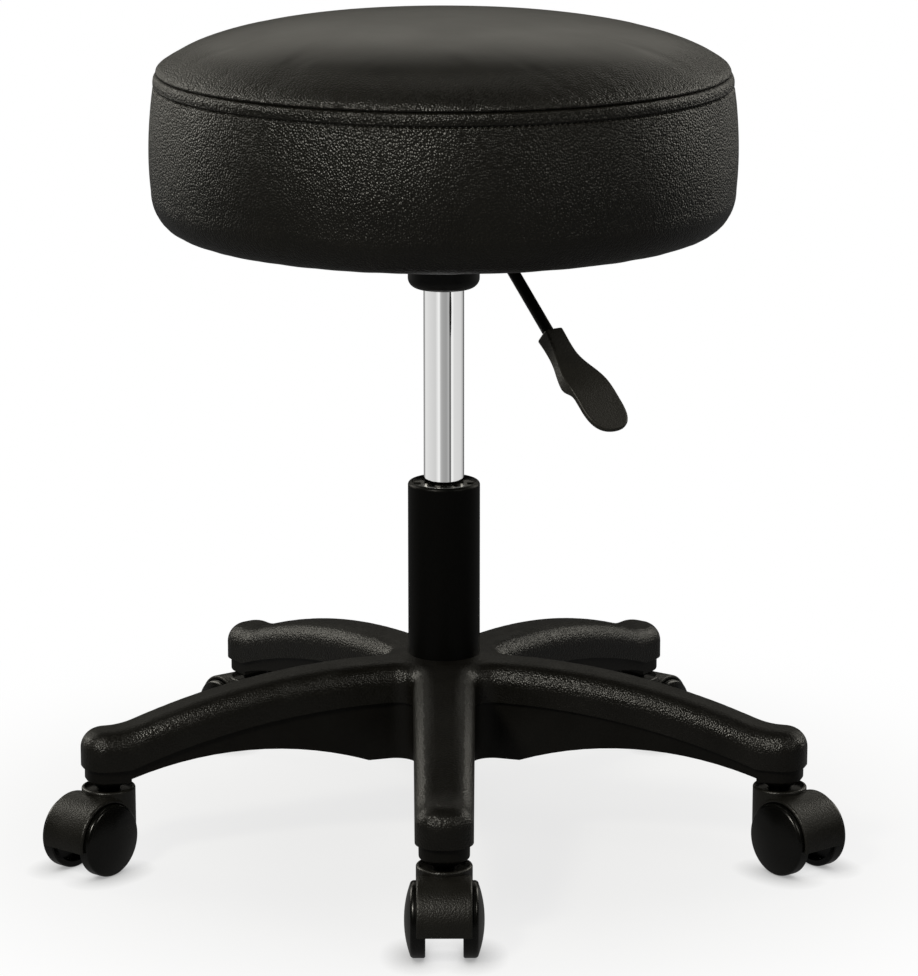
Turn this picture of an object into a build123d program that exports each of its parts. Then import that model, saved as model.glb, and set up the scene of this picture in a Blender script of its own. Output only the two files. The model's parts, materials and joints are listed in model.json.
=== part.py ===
from build123d import *
import os
from math import cos, hypot, radians, sin, tan

# Adjustable swivel stool: a round padded seat on a gas-spring column with a five-arm castor base.
# Millimetres, +Z up. The origin is on the floor, on the column's axis. The front arm points along -Y.
# The seat is drawn at its highest setting.

# Fits between pieces
RUNNING_FIT = 0.05
SEATED_FIT = 0.03
CLEARANCE = 0.4
OVERRUN = 1

# Star base
ARM_COUNT = 5
FRONT_ARM_ANGLE = -90
ARM_REACH = 260
ARM_ROOT_WIDTH = 44
ARM_TIP_WIDTH = 38
ARM_TIP_CORNER = 16.5
ARM_EDGE_ROUND = 14
ARM_WALL_HEIGHT = 25.8
HUB_FLAT_RADIUS = 52
HUB_TOP = 128.3
HUB_BOTTOM = 61.5
HUB_CORNER_ROUND = 12
HUB_CONE_TOP = 129.6
HUB_CONE_FOOT = (34, 127.8)
PAD_START = 230
PAD_TOP = 96.5
PAD_BLEND = 55
PAD_FOOT_ROUND = 1.8
WEB_INSET = 2.5
WEB_FOOT_RADIUS = 61
WEB_CROWN = (150, 76.9)
WEB_END = (229.5, 63.9)
SOCKET_BOTTOM = 60.5
BASE_WALL = 3.5
BASE_ROOF = 6
RIB_THICKNESS = 2.8
RIB_RADII = (78, 118, 158, 196)
RIB_RECESS = 3
HOLLOW_START = 35
HOLLOW_END = 222
PAST_TIP = ARM_REACH + 2 * OVERRUN
ARM_SLAB_HALF_WIDTH = ARM_ROOT_WIDTH / 2 + 8 * OVERRUN

# Column tube and guide bush
TUBE_RADIUS = 25
TUBE_INNER_RADIUS = 23
TUBE_TOP = 252.3
TUBE_BOTTOM = 54
TUBE_FLOOR = 3
TUBE_RIM_ROUND = 2.5
ROD_HOLE_RADIUS = 5.4
HUB_TAPER = tan(radians(0.72))
BUSH_TOP = TUBE_TOP - 1.9
BUSH_LENGTH = 52
BUSH_NOTCHES = 8
BUSH_NOTCH_CIRCLE = 18.6
BUSH_NOTCH_SIZE = (5.4, 7)
BUSH_NOTCH_CORNER = 1.2
BUSH_NOTCH_DEPTH = 2.2

# Gas spring
CYLINDER_RADIUS = 14
CYLINDER_INNER_RADIUS = 12
CYLINDER_BOTTOM = 201
CYLINDER_TOP = 413.5
CYLINDER_TAPER = 0.02
CYLINDER_TAPER_START = 386
ROD_RADIUS = 5
ROD_BOTTOM = 47.5
ROD_SHOULDER = 216
ROD_SPIGOT_RADIUS = 4
ROD_CHAMFER = 1
RIVET_RADIUS = 4.8
RIVET_CHAMFER = 0.6
CLIP_LOW = 50
CLIP_HIGH = 51.3
CLIP_RADIUS = 8.5
CLIP_GROOVE_RADIUS = 4.1
CLIP_MOUTH_WIDTH = 7.5
ROD_WASHER_RADIUS = 11
ROD_WASHER_TOP = 53.8
PISTON_HEIGHT = 7
PISTON_RADIUS = 11.9
SEAL_SECTION = 1.2
BALL_RADIUS = 2.25
BALL_COUNT = 9
BALL_CIRCLE = 9.2
RACE_THICKNESS = 2.2
RACE_GAP = 1.7
BALL_LEVEL = TUBE_BOTTOM + TUBE_FLOOR + RACE_THICKNESS + RACE_GAP
RACE_RADII = (6, 12.5)
CAGE_RADII = (6.6, 11.9)
CAGE_HALF_HEIGHT = 0.8
BUMP_TOP = 77
BUMP_RADIUS = 13
BUMP_FOOT_HEIGHT = 3
BUMP_WAIST_RADIUS = 11
BUMP_HEAD_RADIUS = 12
BUMP_CHAMFER = 2
GUIDE_LENGTH = 12
PLUG_LENGTH = 14.5
CYLINDER_LIP = 1.3
CYLINDER_CHAMFER = 0.8
BUTTON_RADIUS = 3.5
BUTTON_DOME = 1.5
BUTTON_FOOT_RADIUS = 5
BUTTON_FOOT_HEIGHT = 2.5
BUTTON_FOOT_DROP = 5
BUTTON_TOP = 419.1

# Seat
SEAT_RADIUS = 200
SEAT_TOP = 572.9
SEAT_BOTTOM = 431.9
SEAT_WAIST = 482
SEAT_CORNER = 26
SEAM_RADIUS = 195
SEAM_LEVEL = 537.5
SEAM_SLOPE = (0.6, -1)
UPPER_FLANK_RADIUS = 199
LOWER_FLANK_RADIUS = 199.7
FOOT_RADIUS = 198.7
CROWN_POINTS = ((97.5, 569.6), (146, 561.5), (175.5, 551.8))
COVER_THICKNESS = 1.3
HEM_RADIUS = 142
BOARD_RADIUS = 172
BOARD_THICKNESS = 12
BOARD_BOTTOM = SEAT_BOTTOM + COVER_THICKNESS + RUNNING_FIT
BOARD_TOP = BOARD_BOTTOM + BOARD_THICKNESS
BOARD_CHAMFER = 1
DUST_COVER_THICKNESS = 0.7
DUST_COVER_RADIUS = 156
DUST_STEP_RADII = (136, 140.5)

# Seat plate and its fasteners
PLATE_THICKNESS = 2.5
PLATE_TOP = BOARD_BOTTOM - DUST_COVER_THICKNESS - 2 * RUNNING_FIT
PLATE_SIZE = (164, 132)
PLATE_CORNER = 16
BOX_BOTTOM = 408
BOX_TOP_SIZE = (104, 82)
BOX_BOTTOM_SIZE = (88, 66)
BOX_CORNER = 14
EAR_INNER = 5
EAR_LENGTH = 12
EAR_TOP = 428
SLOT_WIDTH = 11
SLOT_HEIGHT = (416, 428.5)
BOLT_SPACING = (132, 100)
BOLT_RADIUS = 3
BOLT_HOLE_RADIUS = 3.3
BOLT_HEAD_FLATS = 10
BOLT_HEAD_HEIGHT = 4.2
WASHER_RADII = (3.2, 6.3)
WASHER_THICKNESS = 1.6
TEE_BARREL_RADIUS = 4
TEE_BARREL_LENGTH = 9
TEE_FLANGE_RADIUS = 9.5
TEE_FLANGE_THICKNESS = 1.4
SOCKET_RADIUS = 24.7
SOCKET_LOW = 388.5
SOCKET_TOP = 412.5
SOCKET_ROUND = 7
SOCKET_WALL = 2.5
SLEEVE_RADIUS = 17

# Release lever, drawn along +X and then turned to its angle round the column
LEVER_ANGLE = -53.6
LEVER_LEVEL = 422
LEVER_PIVOT = 36
LEVER_ROD_RADIUS = 4
LEVER_BEND = 66
LEVER_BEND_ROUND = 14
LEVER_DROP_ANGLE = 42
LEVER_ROD_END = 82
EYE_RADIUS = 6
EYE_HALF_WIDTH = 4.6
TONGUE_END = -5
TONGUE_ROOT = 22
TONGUE_OVERLAP = 8
TONGUE_WIDTH = 12
TONGUE_CORNER = 4
TONGUE_THICKNESS = 5
PIN_RADIUS = 2.5
PIN_HALF_LENGTH = 9
PADDLE_NECK = (70, 7.2)
PADDLE_FLANK = (95, 10.2)
PADDLE_WIDEST = (122, 16.6)
PADDLE_ROUND_START = 138
PADDLE_END = 158
PADDLE_NECK_HALF_HEIGHT = 6.8
PADDLE_SCOOP = (92, 5)
PADDLE_BELLY_END = (114, -0.8)
PADDLE_FLAT_START = 130
PADDLE_TOP = 10.2
PADDLE_THICKNESS = 4
PADDLE_EDGE_ROUND = 1.6

# Castors, drawn with the stem on Z and the wheels trailing along +X
CASTOR_CIRCLE = 242
CASTOR_YAWS = (-90, -51.7, 54, 126, -128.3)
CASTOR_TRAIL = 19.3
WHEEL_RADIUS = 25
WHEEL_INNER_FACE = 12.3
WHEEL_OUTER_FACE = 26
WHEEL_TREAD_CHAMFER = 0.8
WHEEL_SHOULDER = 19.6
WHEEL_DOME_EDGE = (22.8, 22.2)
WHEEL_DOME_INNER = 19.4
WHEEL_GATE_RADIUS = 0.5
WHEEL_RIM_INNER_RADIUS = 20.9
WHEEL_RIM_CHAMFER = 1.3
WHEEL_HUB_RADIUS = 6.8
WHEEL_HUB_FACE = 12.7
AXLE_RADIUS = 3
AXLE_HALF_LENGTH = 21
AXLE_CHAMFER = 0.6
STEM_RADIUS = 5.5
STEM_BOTTOM = 30.3
STEM_TOP = 88
STEM_CHAMFER = 1
STEM_COLLAR_RADIUS = 8
NECK_RADIUS = 18.45
NECK_TOP = 55.8
NECK_BOTTOM = 28
DISH_RADIUS = 16.6
DISH_FLOOR = 53.2
FENDER_RADIUS = 27.9
FENDER_HALF_WIDTH = 18
FENDER_BOTTOM = 21.5
FENDER_CLEARANCE = 0.9
FENDER_EDGE_ROUND = 1.5
BOSS_HALF_WIDTH = 12
STEM_BOSS_RADIUS = 9.5
AXLE_BOSS_RADIUS = 7.5
HOOD_WEB = 4.4
STEM_FLANGE_RADIUS = 10.5
STEM_FLANGE_LOW = 57.2
GRIP_RING_LEVEL = 81
GRIP_RING_HEIGHT = 4
GRIP_GROOVE_RADIUS = 5


# Shared forms

def turned(*outline):
    """Solid of revolution about Z from a closed outline of (radius, height) points or curves."""
    if isinstance(outline[0], tuple):
        outline = [Polyline(*outline, close=True)]
    return revolve(Plane.XZ * make_face(Curve() + list(outline)), Axis.Z)


def ring(inner, outer, low, high):
    """Plain ring or bush."""
    return turned((inner, low), (outer, low), (outer, high), (inner, high))


def around(shape, count=ARM_COUNT, first=FRONT_ARM_ANGLE):
    """Copies of a shape, evenly spaced about Z."""
    return [Rot(0, 0, first + index * 360 / count) * shape for index in range(count)]


def group(shapes):
    """Separate solids kept together as one sub-part."""
    return Compound([solid for shape in shapes for solid in shape.solids()])


def to_lever(shape):
    """Turns a shape drawn along +X to the lever's angle round the column."""
    return Rot(0, 0, LEVER_ANGLE) * shape


def at_bolts(shape):
    """Copies of a shape at the four bolts of the seat plate."""
    return [to_lever(place * shape) for place in GridLocations(*BOLT_SPACING, 2, 2)]


def tube_radius_at(height):
    """Outer radius of the column tube, which tapers where it wedges into the hub."""
    return TUBE_RADIUS - HUB_TAPER * max(0, HUB_CONE_TOP - height)


def cylinder_radius_at(height):
    """Outer radius of the gas cylinder, which tapers where it wedges into the seat's socket."""
    return CYLINDER_RADIUS - CYLINDER_TAPER * max(0, height - CYLINDER_TAPER_START)


def save(name, shape):
    """Writes one sub-part."""
    export_step(shape, f"parts/{name}.step")


# Star base: ribbed nylon moulding with hollow arms

def arm_outline(inset):
    """Plan of one arm: a tapered bar from the column's axis to a rounded tip."""
    root = ARM_ROOT_WIDTH / 2 - inset
    tip = ARM_TIP_WIDTH / 2 - inset
    reach = ARM_REACH - inset
    bar = make_face(Polyline((0, -root), (reach, -tip), (reach, tip), (0, root), close=True))
    return fillet(bar.vertices().group_by(Axis.X)[-1], ARM_TIP_CORNER - inset)


def star_outline(inset):
    """Plan of all the arms, with rounded corners where neighbours meet."""
    star = Sketch() + around(arm_outline(inset))
    inner_corners = star.vertices().sort_by(lambda vertex: hypot(vertex.X, vertex.Y))[:ARM_COUNT]
    return fillet(inner_corners, HUB_CORNER_ROUND + inset)


def ridge_line(drop):
    """An arm's top line from the hub to past the tip, lowered by drop."""
    hub = HUB_TOP - drop
    pad = PAD_TOP - drop
    return [
        Line((0, hub), (HUB_FLAT_RADIUS, hub)),
        TangentArc((HUB_FLAT_RADIUS, hub), (PAD_START, pad), tangent=(1, 0)),
        Line((PAD_START, pad), (PAST_TIP, pad)),
    ]


def web_line(lift):
    """The arched lower edge of the web below an arm, raised by lift."""
    hub = HUB_BOTTOM + lift
    socket = SOCKET_BOTTOM + lift
    crown = (WEB_CROWN[0], WEB_CROWN[1] + lift)
    end_radius, end_level = WEB_END
    return [
        Line((0, hub), (WEB_FOOT_RADIUS, hub)),
        ThreePointArc((WEB_FOOT_RADIUS, hub), crown, (end_radius, end_level + lift)),
        Polyline((end_radius, end_level + lift), (end_radius, socket), (PAST_TIP, socket)),
    ]


def arm_side(top_line, bottom_line):
    """Side view of an arm between two lines, with the kink above the castor pad smoothed."""
    ends = [Line(top_line[end] @ side, bottom_line[end] @ side) for end, side in ((0, 0), (-1, 1))]
    side = make_face(top_line + bottom_line + ends)
    corners = side.vertices().filter_by(lambda vertex: abs(vertex.X - PAD_START) < 0.01)
    return fillet(corners.sort_by(Axis.Y)[-1], PAD_BLEND)


def arm_slab(side, half_width):
    """Upright slab along +X from the side view of an arm."""
    return extrude(Plane.XZ * side, half_width, both=True)


def arm_hollow():
    """The space under one arm: open below, with one long rib and several cross ribs left standing."""
    plan = arm_outline(WEB_INSET + BASE_WALL)
    space = extrude(plan, HUB_TOP) & arm_slab(
        arm_side(ridge_line(BASE_ROOF), ridge_line(HUB_TOP)), ARM_ROOT_WIDTH)
    length = HOLLOW_END - HOLLOW_START
    space &= Pos(HOLLOW_START + length / 2, 0, 0) * Box(length, ARM_ROOT_WIDTH, 2 * HUB_TOP)
    ribs = Box(2 * ARM_REACH, RIB_THICKNESS, 2 * HUB_TOP)
    for radius in RIB_RADII:
        ribs += Pos(radius, 0, 0) * Box(RIB_THICKNESS, ARM_ROOT_WIDTH, 2 * HUB_TOP)
    ribs &= arm_slab(arm_side(ridge_line(0), web_line(RIB_RECESS)), ARM_ROOT_WIDTH)
    return space - ribs


def make_star_base():
    cap_side = arm_side(ridge_line(0), ridge_line(ARM_WALL_HEIGHT))
    cap_slabs = Part() + around(arm_slab(cap_side, ARM_SLAB_HALF_WIDTH))
    cap = extrude(star_outline(0), 2 * HUB_TOP) & cap_slabs
    roofs = cap.faces().filter_by(lambda face: face.normal_at().Z > 0.5)
    walls = cap.faces().filter_by(lambda face: abs(face.normal_at().Z) < 0.1)
    cap = fillet(roofs.edges() & walls.edges(), ARM_EDGE_ROUND)
    web_side = arm_side(ridge_line(ARM_WALL_HEIGHT - WEB_INSET), web_line(0))
    web_slabs = Part() + around(arm_slab(web_side, ARM_SLAB_HALF_WIDTH))
    web = extrude(star_outline(WEB_INSET), HUB_TOP) & web_slabs
    pad_feet = web.faces().filter_by(lambda face: abs(face.center().Z - SOCKET_BOTTOM) < 0.01)
    web = fillet(pad_feet.edges(), PAD_FOOT_ROUND)
    cone_low = HUB_TOP - ARM_WALL_HEIGHT
    hub_cone = turned(
        (TUBE_INNER_RADIUS, cone_low),
        (HUB_CONE_FOOT[0], cone_low),
        HUB_CONE_FOOT,
        (TUBE_RADIUS, HUB_CONE_TOP),
        (TUBE_INNER_RADIUS, HUB_CONE_TOP),
    )
    base = cap + web + hub_cone
    base -= around(arm_hollow())
    base -= turned(
        (0, HUB_BOTTOM - OVERRUN),
        (tube_radius_at(HUB_BOTTOM - OVERRUN) + SEATED_FIT, HUB_BOTTOM - OVERRUN),
        (TUBE_RADIUS + SEATED_FIT, HUB_CONE_TOP + OVERRUN),
        (0, HUB_CONE_TOP + OVERRUN),
    )
    stem_hole = Pos(CASTOR_CIRCLE, 0, SOCKET_BOTTOM) * Cylinder(
        STEM_RADIUS + CLEARANCE, 2 * (STEM_TOP + OVERRUN - SOCKET_BOTTOM))
    return base - around(stem_hole)


# Column: steel tube wedged into the hub, with a plastic guide bush held under its rolled rim

def make_column_tube():
    rim_low = TUBE_TOP - TUBE_RIM_ROUND
    lip = TUBE_RADIUS - TUBE_RIM_ROUND
    floor_top = TUBE_BOTTOM + TUBE_FLOOR
    bush_seat = BUSH_TOP + SEATED_FIT
    return turned(
        Polyline(
            (ROD_HOLE_RADIUS, TUBE_BOTTOM),
            (tube_radius_at(TUBE_BOTTOM), TUBE_BOTTOM),
            (TUBE_RADIUS, HUB_CONE_TOP),
            (TUBE_RADIUS, rim_low),
        ),
        TangentArc((TUBE_RADIUS, rim_low), (lip, TUBE_TOP), tangent=(0, 1)),
        Polyline(
            (lip, TUBE_TOP),
            (lip, bush_seat),
            (TUBE_INNER_RADIUS, bush_seat),
            (TUBE_INNER_RADIUS, floor_top),
            (ROD_HOLE_RADIUS, floor_top),
            (ROD_HOLE_RADIUS, TUBE_BOTTOM),
        ),
    )


def make_guide_bush():
    bush = ring(
        CYLINDER_RADIUS + RUNNING_FIT, TUBE_INNER_RADIUS - SEATED_FIT, BUSH_TOP - BUSH_LENGTH, BUSH_TOP)
    notch = extrude(RectangleRounded(*BUSH_NOTCH_SIZE, BUSH_NOTCH_CORNER), 2 * BUSH_NOTCH_DEPTH, both=True)
    notch = Pos(BUSH_NOTCH_CIRCLE, 0, BUSH_TOP + BUSH_NOTCH_DEPTH) * notch
    return bush - around(notch, BUSH_NOTCHES)


# Thrust bearing under the gas spring: two grooved races, a cage and its balls

def make_race(low):
    groove = Pos(0, 0, BALL_LEVEL) * Torus(BALL_CIRCLE, BALL_RADIUS + RUNNING_FIT)
    return ring(*RACE_RADII, low, low + RACE_THICKNESS) - groove


def ball_places(radius):
    """Balls of a given radius round the bearing."""
    return around(Pos(BALL_CIRCLE, 0, BALL_LEVEL) * Sphere(radius), BALL_COUNT)


def make_bearing_cage():
    cage = ring(*CAGE_RADII, BALL_LEVEL - CAGE_HALF_HEIGHT, BALL_LEVEL + CAGE_HALF_HEIGHT)
    return cage - ball_places(BALL_RADIUS + RUNNING_FIT)


# Gas spring: rod and piston turn with the seat, and the cylinder slides on them

def make_piston_rod():
    rivet_low = ROD_SHOULDER + PISTON_HEIGHT + SEATED_FIT
    rivet_high = rivet_low + 2 * RIVET_CHAMFER
    return turned(
        (0, ROD_BOTTOM),
        (ROD_RADIUS - ROD_CHAMFER, ROD_BOTTOM),
        (ROD_RADIUS, ROD_BOTTOM + ROD_CHAMFER),
        (ROD_RADIUS, CLIP_LOW),
        (CLIP_GROOVE_RADIUS, CLIP_LOW),
        (CLIP_GROOVE_RADIUS, CLIP_HIGH),
        (ROD_RADIUS, CLIP_HIGH),
        (ROD_RADIUS, ROD_SHOULDER),
        (ROD_SPIGOT_RADIUS, ROD_SHOULDER),
        (ROD_SPIGOT_RADIUS, rivet_low),
        (RIVET_RADIUS, rivet_low),
        (RIVET_RADIUS, rivet_high - RIVET_CHAMFER),
        (RIVET_RADIUS - RIVET_CHAMFER, rivet_high),
        (0, rivet_high),
    )


def seal_level():
    """Height of the seal's groove round the piston."""
    return ROD_SHOULDER + PISTON_HEIGHT / 2


def make_piston():
    low = ROD_SHOULDER + SEATED_FIT
    body = ring(ROD_SPIGOT_RADIUS + SEATED_FIT, PISTON_RADIUS, low, ROD_SHOULDER + PISTON_HEIGHT)
    half_groove = SEAL_SECTION + RUNNING_FIT
    groove = ring(
        PISTON_RADIUS - 2 * half_groove, PISTON_RADIUS + OVERRUN,
        seal_level() - half_groove, seal_level() + half_groove)
    return body - groove


def make_piston_seal():
    return Pos(0, 0, seal_level()) * Torus(PISTON_RADIUS - SEAL_SECTION, SEAL_SECTION)


def make_bump_stop():
    low = BALL_LEVEL + RACE_GAP + RACE_THICKNESS + RUNNING_FIT
    inner = ROD_RADIUS + SEATED_FIT
    foot = (BUMP_RADIUS, low + BUMP_FOOT_HEIGHT)
    waist = (BUMP_WAIST_RADIUS, (low + BUMP_TOP) / 2)
    head = (BUMP_HEAD_RADIUS, BUMP_TOP - BUMP_CHAMFER)
    return turned(
        Polyline((inner, low), (BUMP_RADIUS, low), foot),
        ThreePointArc(foot, waist, head),
        Polyline(head, (BUMP_HEAD_RADIUS - BUMP_CHAMFER, BUMP_TOP), (inner, BUMP_TOP), (inner, low)),
    )


def make_rod_washer():
    return ring(ROD_RADIUS + RUNNING_FIT, ROD_WASHER_RADIUS, CLIP_HIGH + RUNNING_FIT, ROD_WASHER_TOP)


def make_rod_clip():
    clip = ring(CLIP_GROOVE_RADIUS + SEATED_FIT, CLIP_RADIUS, CLIP_LOW + SEATED_FIT, CLIP_HIGH - SEATED_FIT)
    mouth = Pos(CLIP_RADIUS, 0, CLIP_LOW) * Box(2 * CLIP_RADIUS, CLIP_MOUTH_WIDTH, 2 * CLIP_RADIUS)
    return clip - mouth


def make_gas_cylinder():
    chamfer_low = CYLINDER_TOP - CYLINDER_CHAMFER
    return turned(
        (CYLINDER_INNER_RADIUS - CYLINDER_LIP, CYLINDER_BOTTOM),
        (CYLINDER_RADIUS - CYLINDER_CHAMFER, CYLINDER_BOTTOM),
        (CYLINDER_RADIUS, CYLINDER_BOTTOM + CYLINDER_CHAMFER),
        (CYLINDER_RADIUS, CYLINDER_TAPER_START),
        (cylinder_radius_at(chamfer_low), chamfer_low),
        (cylinder_radius_at(CYLINDER_TOP) - CYLINDER_CHAMFER, CYLINDER_TOP),
        (CYLINDER_INNER_RADIUS, CYLINDER_TOP),
        (CYLINDER_INNER_RADIUS, CYLINDER_BOTTOM + CYLINDER_LIP),
        (CYLINDER_INNER_RADIUS - CYLINDER_LIP, CYLINDER_BOTTOM + CYLINDER_LIP),
    )


def make_rod_guide():
    low = CYLINDER_BOTTOM + CYLINDER_LIP + SEATED_FIT
    return ring(ROD_RADIUS + RUNNING_FIT, CYLINDER_INNER_RADIUS - SEATED_FIT, low, low + GUIDE_LENGTH)


def make_valve_plug():
    low = CYLINDER_TOP - PLUG_LENGTH
    return ring(BUTTON_RADIUS + RUNNING_FIT, CYLINDER_INNER_RADIUS - SEATED_FIT, low, CYLINDER_TOP)


def make_release_button():
    foot_low = CYLINDER_TOP - PLUG_LENGTH - BUTTON_FOOT_DROP
    foot_high = foot_low + BUTTON_FOOT_HEIGHT
    shoulder = (BUTTON_RADIUS, BUTTON_TOP - BUTTON_DOME)
    return turned(
        Polyline(
            (0, BUTTON_TOP),
            (0, foot_low),
            (BUTTON_FOOT_RADIUS, foot_low),
            (BUTTON_FOOT_RADIUS, foot_high),
            (BUTTON_RADIUS, foot_high),
            shoulder,
        ),
        TangentArc((0, BUTTON_TOP), shoulder, tangent=(1, 0)),
    )


# Seat mechanism: pressed plate bolted to the board, with a tapered socket welded below it

def make_taper_socket():
    inner_round = SOCKET_ROUND - SOCKET_WALL
    round_radius = SOCKET_RADIUS - SOCKET_ROUND
    wall_radius = SOCKET_RADIUS - SOCKET_WALL
    inner_low = SOCKET_LOW + SOCKET_WALL
    bore_low = cylinder_radius_at(SOCKET_LOW) + SEATED_FIT
    bore_high = cylinder_radius_at(SOCKET_TOP) + SEATED_FIT
    return turned(
        Line((bore_low, SOCKET_LOW), (round_radius, SOCKET_LOW)),
        TangentArc((round_radius, SOCKET_LOW), (SOCKET_RADIUS, SOCKET_LOW + SOCKET_ROUND), tangent=(1, 0)),
        Polyline(
            (SOCKET_RADIUS, SOCKET_LOW + SOCKET_ROUND),
            (SOCKET_RADIUS, BOX_BOTTOM),
            (wall_radius, BOX_BOTTOM),
            (wall_radius, inner_low + inner_round),
        ),
        TangentArc((wall_radius, inner_low + inner_round), (round_radius, inner_low), tangent=(0, -1)),
        Polyline(
            (round_radius, inner_low),
            (SLEEVE_RADIUS, inner_low),
            (SLEEVE_RADIUS, SOCKET_TOP),
            (bore_high, SOCKET_TOP),
            (bore_low, SOCKET_LOW),
        ),
    )


def pressed_box(shrink, low, high):
    """Tapered box of the plate's pressing, drawn in by shrink."""
    sections = []
    for size, level in ((BOX_BOTTOM_SIZE, low), (BOX_TOP_SIZE, high)):
        length, width = size
        corner = BOX_CORNER - shrink
        sections.append(Pos(0, 0, level) * RectangleRounded(length - 2 * shrink, width - 2 * shrink, corner))
    return loft(sections)


def make_seat_plate():
    flange = Pos(0, 0, PLATE_TOP - PLATE_THICKNESS) * extrude(
        RectangleRounded(*PLATE_SIZE, PLATE_CORNER), PLATE_THICKNESS)
    plate = flange + pressed_box(0, BOX_BOTTOM, PLATE_TOP)
    plate -= pressed_box(PLATE_THICKNESS, BOX_BOTTOM + PLATE_THICKNESS, PLATE_TOP)
    ear_height = EAR_TOP - BOX_BOTTOM - PLATE_THICKNESS / 2
    ear = Box(EAR_LENGTH, PLATE_THICKNESS, ear_height)
    for side in (-1, 1):
        across = side * (EAR_INNER + PLATE_THICKNESS / 2)
        plate += Pos(LEVER_PIVOT, across, EAR_TOP - ear_height / 2) * ear
    plate -= Pos(LEVER_PIVOT, 0, LEVER_LEVEL) * Rot(90, 0, 0) * Cylinder(
        PIN_RADIUS + SEATED_FIT, 2 * PIN_HALF_LENGTH)
    slot_low, slot_high = SLOT_HEIGHT
    slot = Box(BOX_TOP_SIZE[0] / 4, SLOT_WIDTH, slot_high - slot_low)
    plate -= Pos(BOX_TOP_SIZE[0] / 2, 0, (slot_low + slot_high) / 2) * slot
    plate -= Pos(0, 0, BOX_BOTTOM) * Cylinder(SLEEVE_RADIUS + SEATED_FIT, 4 * PLATE_THICKNESS)
    for place in GridLocations(*BOLT_SPACING, 2, 2):
        plate -= place * Pos(0, 0, PLATE_TOP) * Cylinder(BOLT_HOLE_RADIUS, 4 * PLATE_THICKNESS)
    return to_lever(plate)


def make_lever_pin():
    pin = Rot(90, 0, 0) * Cylinder(PIN_RADIUS, 2 * PIN_HALF_LENGTH)
    return to_lever(Pos(LEVER_PIVOT, 0, LEVER_LEVEL) * pin)


def make_plate_bolt():
    head_top = PLATE_TOP - PLATE_THICKNESS - WASHER_THICKNESS
    head = extrude(RegularPolygon(BOLT_HEAD_FLATS / 2, 6, major_radius=False), -BOLT_HEAD_HEIGHT)
    shank_length = BOARD_TOP - RUNNING_FIT - head_top
    shank = extrude(Circle(BOLT_RADIUS), shank_length)
    return Pos(0, 0, head_top) * (head + shank)


def make_plate_washer():
    high = PLATE_TOP - PLATE_THICKNESS
    return ring(*WASHER_RADII, high - WASHER_THICKNESS, high)


def make_tee_nut():
    bore = BOLT_RADIUS + SEATED_FIT
    barrel = ring(bore, TEE_BARREL_RADIUS, BOARD_TOP - TEE_BARREL_LENGTH, BOARD_TOP)
    return barrel + ring(bore, TEE_FLANGE_RADIUS, BOARD_TOP - TEE_FLANGE_THICKNESS, BOARD_TOP)


# Seat: plywood board, foam and a sewn cover tucked under the edge

def seat_form(inset):
    """Solid of the seat's outside, drawn in by inset."""
    corner_top = SEAT_BOTTOM + SEAT_CORNER
    seam = (SEAM_RADIUS, SEAM_LEVEL)
    upper_flank = (UPPER_FLANK_RADIUS, (SEAM_LEVEL + SEAT_WAIST) / 2)
    waist = (SEAT_RADIUS, SEAT_WAIST)
    lower_flank = (LOWER_FLANK_RADIUS, (SEAT_WAIST + corner_top) / 2)
    foot = (FOOT_RADIUS, corner_top)
    toe = (FOOT_RADIUS - SEAT_CORNER, SEAT_BOTTOM)
    form = turned(
        Spline((0, SEAT_TOP), *CROWN_POINTS, seam, tangents=((1, 0), SEAM_SLOPE)),
        ThreePointArc(seam, upper_flank, waist),
        ThreePointArc(waist, lower_flank, foot),
        TangentArc(foot, toe, tangent=(0, -1)),
        Polyline(toe, (0, SEAT_BOTTOM), (0, SEAT_TOP)),
    )
    return offset(form, -inset) if inset else form


def make_seat_cover():
    """Top panel and side band of the cover, parted at the seam."""
    hem_opening = Pos(0, 0, SEAT_BOTTOM) * Cylinder(HEM_RADIUS, 4 * COVER_THICKNESS)
    cover = seat_form(0) - seat_form(COVER_THICKNESS) - hem_opening
    seam_plane = Plane.XY.offset(SEAM_LEVEL)
    return split(cover, seam_plane, keep=Keep.TOP), split(cover, seam_plane, keep=Keep.BOTTOM)


def make_seat_foam():
    board_room = Pos(0, 0, BOARD_TOP + RUNNING_FIT - BOARD_THICKNESS) * Cylinder(
        BOARD_RADIUS + CLEARANCE, 2 * BOARD_THICKNESS)
    return seat_form(COVER_THICKNESS + CLEARANCE / 2) - board_room


def make_seat_board():
    board = Pos(0, 0, BOARD_BOTTOM) * extrude(Circle(BOARD_RADIUS), BOARD_THICKNESS)
    board = chamfer(board.edges().filter_by(GeomType.CIRCLE), BOARD_CHAMFER)
    hole = Cylinder(TEE_BARREL_RADIUS + SEATED_FIT, 4 * BOARD_THICKNESS)
    hole += Cylinder(TEE_FLANGE_RADIUS + SEATED_FIT, 2 * (TEE_FLANGE_THICKNESS + SEATED_FIT))
    return board - at_bolts(Pos(0, 0, BOARD_TOP) * hole)


def make_dust_cover():
    high = BOARD_BOTTOM - RUNNING_FIT
    low = high - DUST_COVER_THICKNESS
    hem_high = SEAT_BOTTOM - 2 * RUNNING_FIT
    hem_low = hem_high - DUST_COVER_THICKNESS
    step_start, step_end = DUST_STEP_RADII
    sheet = turned(
        (0, low),
        (step_start, low),
        (step_end, hem_low),
        (DUST_COVER_RADIUS, hem_low),
        (DUST_COVER_RADIUS, hem_high),
        (step_end, hem_high),
        (step_start, high),
        (0, high),
    )
    return sheet - at_bolts(Pos(0, 0, high) * Cylinder(BOLT_RADIUS + CLEARANCE, 4 * DUST_COVER_THICKNESS))


# Release lever: bent steel rod on a cross pin, with a moulded paddle

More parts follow.
